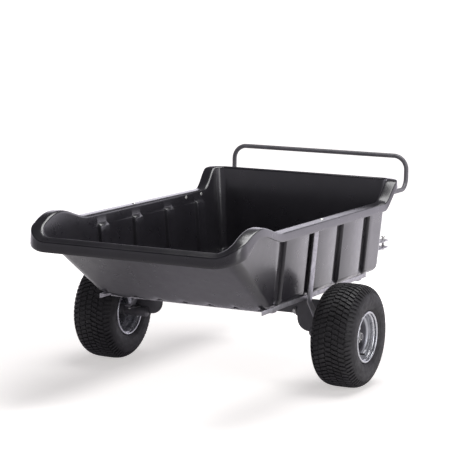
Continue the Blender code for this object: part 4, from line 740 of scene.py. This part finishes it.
def barrel_line():
    """The middle of the barrel's sheet, from one rolled lip to the other."""
    half = arc_points(0.0872, 0.1096, 0.0038, -100, 90, 12)
    half += [(0.0840, 0.1128), (0.0812, 0.1098), (0.0800, 0.1050), (0.0782, 0.1014), (0.0745, 0.1000),
             (0.0600, 0.0996), (0.0460, 0.0992), (0.0410, 0.0970), (0.0345, 0.0890), (0.0290, 0.0872)]
    return half + [(-across, radius) for across, radius in reversed(half)]


def disc_line():
    """The middle of the disc's sheet, from its weld in the barrel to the hole for the hub."""
    return [(0.0620, 0.0968), (0.0560, 0.0962), (0.0505, 0.0935), (0.0478, 0.0890), (0.0470, 0.0840),
            (0.0490, 0.0740), (0.0495, 0.0690), (0.0480, 0.0640), (0.0420, 0.0600), (0.0370, 0.0575),
            (0.0335, 0.0530), (0.0335, 0.0268)]


def with_sheet(piece):
    """Gives the turned line of a rim's part the thickness of its steel and soft edges."""
    sheet = piece.modifiers.new("sheet", "SOLIDIFY")
    sheet.thickness = 0.003
    sheet.offset = 0.0
    sheet.use_even_offset = True
    edge = piece.modifiers.new("edge", "BEVEL")
    edge.width = 0.0008
    edge.segments = 2
    edge.limit_method = "ANGLE"
    edge.angle_limit = math.radians(60)


BOLT_CIRCLE_RADIUS = 0.0405
BOLT_COUNT = 4
BOLT_HEAD_WIDTH = 0.0150
BOLT_HEAD_LOW = 0.0350
BOLT_HEAD_HIGH = 0.0425


def wheel_bolt_heads():
    """Hexagon heads in a circle on the disc."""
    working = bmesh.new()
    place = Matrix.Translation(((BOLT_HEAD_LOW + BOLT_HEAD_HIGH) / 2, 0, BOLT_CIRCLE_RADIUS))
    bmesh.ops.create_cone(working, cap_ends=True, segments=6, radius1=BOLT_HEAD_WIDTH / 2,
                          radius2=BOLT_HEAD_WIDTH / 2, depth=BOLT_HEAD_HIGH - BOLT_HEAD_LOW,
                          matrix=place @ Matrix.Rotation(math.pi / 2, 4, "Y"))
    rims = [edge for edge in working.edges if edge.calc_face_angle(0) > math.radians(80)]
    bmesh.ops.bevel(working, geom=rims, offset=0.0008, offset_type="OFFSET", segments=2, profile=0.5,
                    affect="EDGES", material=-1)
    bmesh.ops.rotate(working, cent=(0, 0, 0), matrix=Matrix.Rotation(math.pi / 4, 3, "X"),
                     verts=working.verts[:])
    bmesh.ops.spin(working, geom=working.verts[:] + working.edges[:] + working.faces[:], cent=(0, 0, 0),
                   axis=(1, 0, 0), angle=2 * math.pi * (BOLT_COUNT - 1) / BOLT_COUNT, steps=BOLT_COUNT - 1,
                   use_duplicate=True)
    return working


silver_paint = new_finish("silver_paint", ((0.66, 0.67, 0.70), (0.74, 0.75, 0.78)), 18.0,
                          (0.24, 0.34), (30.0, 0.00015), (700.0, 0.00004), metallic=0.85)
silver_paint.node_tree.nodes["Principled BSDF"].inputs["Coat Weight"].default_value = 0.3
# The disc has the barrel's silver paint, painted darker here as shade for its place deep inside the wheel
disc_silver_with_painted_shade = new_finish("disc_silver_with_painted_shade", ((0.50, 0.51, 0.54), (0.58, 0.59, 0.62)), 18.0,
                        (0.28, 0.40), (30.0, 0.00015), (700.0, 0.00004), metallic=0.8)
# The middle of the disc is painted near black as shade of its deep recess round the hub, going over to the
# disc's silver further out towards its rim
tree = disc_silver_with_painted_shade.node_tree
place = add_node(tree, "TexCoord")
from_axis = add_node(tree, "VectorMath", {1: WHEEL}, operation="SUBTRACT")
across_axis = add_node(tree, "VectorMath", {1: (0, 1, 1)}, operation="MULTIPLY")
out_from_axis = add_node(tree, "VectorMath", operation="LENGTH")
out_of_painted_shade = add_node(tree, "MapRange", {"From Min": 0.074, "From Max": 0.086}, interpolation_type="SMOOTHSTEP")
disc_painted_shade = add_node(tree, "Mix", {"A": (0.075, 0.074, 0.085, 1)}, data_type="RGBA")
tree.links.new(place.outputs["Object"], from_axis.inputs[0])
tree.links.new(from_axis.outputs["Vector"], across_axis.inputs[0])
tree.links.new(across_axis.outputs["Vector"], out_from_axis.inputs[0])
tree.links.new(out_from_axis.outputs["Value"], out_of_painted_shade.inputs["Value"])
tree.links.new(out_of_painted_shade.outputs["Result"], disc_painted_shade.inputs["Factor"])
tree.links.new(tree.nodes["colours"].outputs["Result"], disc_painted_shade.inputs["B"])
tree.links.new(disc_painted_shade.outputs["Result"], tree.nodes["Principled BSDF"].inputs["Base Color"])
nylon = new_finish("nylon", ((0.016, 0.016, 0.017), (0.026, 0.026, 0.026)), 60.0,
                   (0.42, 0.55), (80.0, 0.0001), (900.0, 0.00005))

hub_line = [(0.0465, 0.0212), (0.0470, 0.0222), (0.0470, 0.0240), (0.0460, 0.0250), (-0.0667, 0.0250),
            (-0.0677, 0.0240), (-0.0677, 0.0220), (-0.0669, 0.0212)]
valve_line = [(0.0, 0.0), (0.0, 0.0058), (0.0060, 0.0058), (0.0085, 0.0042), (0.0200, 0.0036),
              (0.0205, 0.0044), (0.0300, 0.0044), (0.0310, 0.0034), (0.0310, 0.0)]
VALVE_PLACE = (0.0475, 0, -0.0785)
for wheel_side in (1, -1):
    barrel = set_wheel_piece("rim_barrel", turned(barrel_line(), closed=False),
                             silver_paint, ["rim"], 60, wheel_side)
    with_sheet(barrel)
    # The disc's finish carries painted shade of its recess
    disc = set_wheel_piece("rim_disc", turned(disc_line(), closed=False),
                           disc_silver_with_painted_shade, (), 60, wheel_side)
    with_sheet(disc)
    set_wheel_piece("hub_sleeve", turned(hub_line, 64), dark_powder_coat,
                    ["hub"], 35, wheel_side)
    set_wheel_piece("wheel_bolts", wheel_bolt_heads(), bright_zinc, (), 30, wheel_side)
    valve = turned(valve_line, 20, closed=False)
    bmesh.ops.translate(valve, vec=VALVE_PLACE, verts=valve.verts[:])
    set_wheel_piece("tyre_valve", valve, tyre_rubber, (), 35, wheel_side)
for hand in ("right", "left"):
    softened(f"hub_bush_{hand}", f"wheel_{hand}", nylon, 0.0004)


# The floor and the light: a white studio floor that runs out into a white distance, a sky that is
# bright low down and ahead, a large soft light overhead and a smaller one at the right.

floor = bmesh.new()
FLOOR_REACH = 400.0
FLOOR_UNDER_TYRES = 0.0004
bmesh.ops.create_grid(floor, x_segments=1, y_segments=1, size=FLOOR_REACH)
bmesh.ops.translate(floor, vec=(0, 0, -FLOOR_UNDER_TYRES), verts=floor.verts[:])
floor_mesh = bpy.data.meshes.new("studio_floor")
floor.to_mesh(floor_mesh)
floor.free()
studio_floor = bpy.data.objects.new("studio_floor", floor_mesh)
bpy.context.scene.collection.objects.link(studio_floor)

white_floor = bpy.data.materials.new("white_floor")
white_floor.use_nodes = True
tree = white_floor.node_tree
tree.nodes.remove(tree.nodes["Principled BSDF"])
seen = add_node(tree, "LightPath")
place = add_node(tree, "TexCoord")
matt = add_node(tree, "BsdfDiffuse", {"Color": (0.86, 0.84, 0.83, 1)})
glow = add_node(tree, "Emission")
both = add_node(tree, "AddShader")
# Warm where it is seen, and a little bluer where gloss mirrors it
glow_tint = add_node(tree, "Mix", {"A": (1.0, 0.975, 0.96, 1), "B": (1.0, 0.945, 1.07, 1)}, data_type="RGBA")
# The glow clears the shadow between the wheels and is full white far out
sides = add_node(tree, "SeparateXYZ")
from_middle = add_node(tree, "Math", operation="ABSOLUTE")
between_wheels = add_node(tree, "MapRange", {"From Min": 0.50, "From Max": 0.20, "To Max": 0.38},
                          interpolation_type="SMOOTHSTEP")
distance = add_node(tree, "VectorMath", operation="LENGTH")
far_out = add_node(tree, "MapRange", {"From Min": 1.15, "From Max": 2.4, "To Min": 0.52, "To Max": 1.05},
                   interpolation_type="SMOOTHSTEP")
summed = add_node(tree, "Math", operation="ADD")
# Gloss on the object mirrors more of the glow ahead of it than behind it
mirrored_ahead = add_node(tree, "MapRange", {"From Min": -1.5, "From Max": 4.5, "To Min": 0.12, "To Max": 0.92})
mirrored = add_node(tree, "Math", operation="MULTIPLY")
seen_or_mirrored = add_node(tree, "Math", operation="MAXIMUM")
seen_share = add_node(tree, "Math", operation="MULTIPLY")
tree.links.new(place.outputs["Object"], sides.inputs["Vector"])
tree.links.new(sides.outputs["X"], from_middle.inputs[0])
tree.links.new(from_middle.outputs["Value"], between_wheels.inputs["Value"])
tree.links.new(place.outputs["Object"], distance.inputs[0])
tree.links.new(distance.outputs["Value"], far_out.inputs["Value"])
tree.links.new(between_wheels.outputs["Result"], summed.inputs[0])
tree.links.new(far_out.outputs["Result"], summed.inputs[1])
tree.links.new(summed.outputs["Value"], seen_share.inputs[0])
tree.links.new(seen.outputs["Is Camera Ray"], seen_or_mirrored.inputs[0])
tree.links.new(sides.outputs["Y"], mirrored_ahead.inputs["Value"])
tree.links.new(mirrored_ahead.outputs["Result"], mirrored.inputs[0])
tree.links.new(seen.outputs["Is Glossy Ray"], mirrored.inputs[1])
tree.links.new(mirrored.outputs["Value"], seen_or_mirrored.inputs[1])
tree.links.new(seen_or_mirrored.outputs["Value"], seen_share.inputs[1])
tree.links.new(seen_share.outputs["Value"], glow.inputs["Strength"])
tree.links.new(seen.outputs["Is Glossy Ray"], glow_tint.inputs["Factor"])
tree.links.new(glow_tint.outputs["Result"], glow.inputs["Color"])
tree.links.new(matt.outputs["BSDF"], both.inputs[0])
tree.links.new(glow.outputs["Emission"], both.inputs[1])
tree.links.new(both.outputs["Shader"], tree.nodes["Material Output"].inputs["Surface"])
floor_mesh.materials.append(white_floor)

sky = bpy.data.worlds.new("studio_sky")
sky.use_nodes = True
tree = sky.node_tree
around = tree.nodes["Background"]
seen = add_node(tree, "LightPath")
way = add_node(tree, "TexCoord")
parts = add_node(tree, "SeparateXYZ")
# A bright belt low down, dim higher up
belt = add_node(tree, "MapRange", {"From Min": 0.24, "From Max": 0.46, "To Min": 1.15, "To Max": 0.05},
                interpolation_type="SMOOTHSTEP")
# The belt is weaker behind the object than ahead of it
ahead = add_node(tree, "MapRange", {"From Min": -0.55, "From Max": 0.15, "To Min": 0.38, "To Max": 1.0},
                 interpolation_type="SMOOTHSTEP")
level = add_node(tree, "Math", operation="MULTIPLY")
strength = add_node(tree, "Mix", {"B": 1.05})
tint = add_node(tree, "Mix", {"A": (0.985, 0.950, 1.06, 1), "B": (1.0, 1.0, 1.0, 1)}, data_type="RGBA")
tree.links.new(way.outputs["Generated"], parts.inputs["Vector"])
tree.links.new(parts.outputs["Z"], belt.inputs["Value"])
tree.links.new(parts.outputs["Y"], ahead.inputs["Value"])
tree.links.new(belt.outputs["Result"], level.inputs[0])
tree.links.new(ahead.outputs["Result"], level.inputs[1])
tree.links.new(level.outputs["Value"], strength.inputs["A"])
tree.links.new(seen.outputs["Is Camera Ray"], strength.inputs["Factor"])
tree.links.new(seen.outputs["Is Camera Ray"], tint.inputs["Factor"])
tree.links.new(strength.outputs["Result"], around.inputs["Strength"])
tree.links.new(tint.outputs["Result"], around.inputs["Color"])
bpy.context.scene.world = sky


def soft_light(name, spot, aim, size, power):
    """A square studio light at a spot, turned towards what it lights."""
    lamp = bpy.data.lights.new(name, "AREA")
    lamp.shape = "RECTANGLE"
    lamp.size, lamp.size_y = size
    lamp.energy = power
    light = bpy.data.objects.new(name, lamp)
    bpy.context.scene.collection.objects.link(light)
    light.location = spot
    light.rotation_euler = (Vector(aim) - Vector(spot)).to_track_quat("-Z", "Y").to_euler()


soft_light("overhead_light", (0.6, 0.4, 4.2), (0.0, 0.0, 0.4), (3.0, 3.0), 128.0)
soft_light("right_light", (3.6, -1.6, 1.5), (0.0, -0.2, 0.6), (1.0, 2.2), 25.0)

# The camera, at the photograph's angle
CAMERA_SPOT = (3.73783, -7.86892, 1.86885)
camera_data = bpy.data.cameras.new("camera")
camera_data.sensor_width = 36.0
camera_data.lens = 146.84
camera_data.clip_end = 1000.0
camera = bpy.data.objects.new("camera", camera_data)
bpy.context.scene.collection.objects.link(camera)
heading, pitch, roll = math.radians(26.842), math.radians(8.333), math.radians(0.880)
forward = Vector((-math.sin(heading) * math.cos(pitch), math.cos(heading) * math.cos(pitch),
                  -math.sin(pitch)))
level_right = Vector((math.cos(heading), math.sin(heading), 0.0))
level_up = level_right.cross(forward)
right = level_right * math.cos(roll) + level_up * math.sin(roll)
up = level_up * math.cos(roll) - level_right * math.sin(roll)
facing = Matrix((right, up, -forward)).transposed().to_4x4()
camera.matrix_world = Matrix.Translation(CAMERA_SPOT) @ facing
bpy.context.scene.camera = camera
bpy.context.scene.view_settings.view_transform = "Standard"
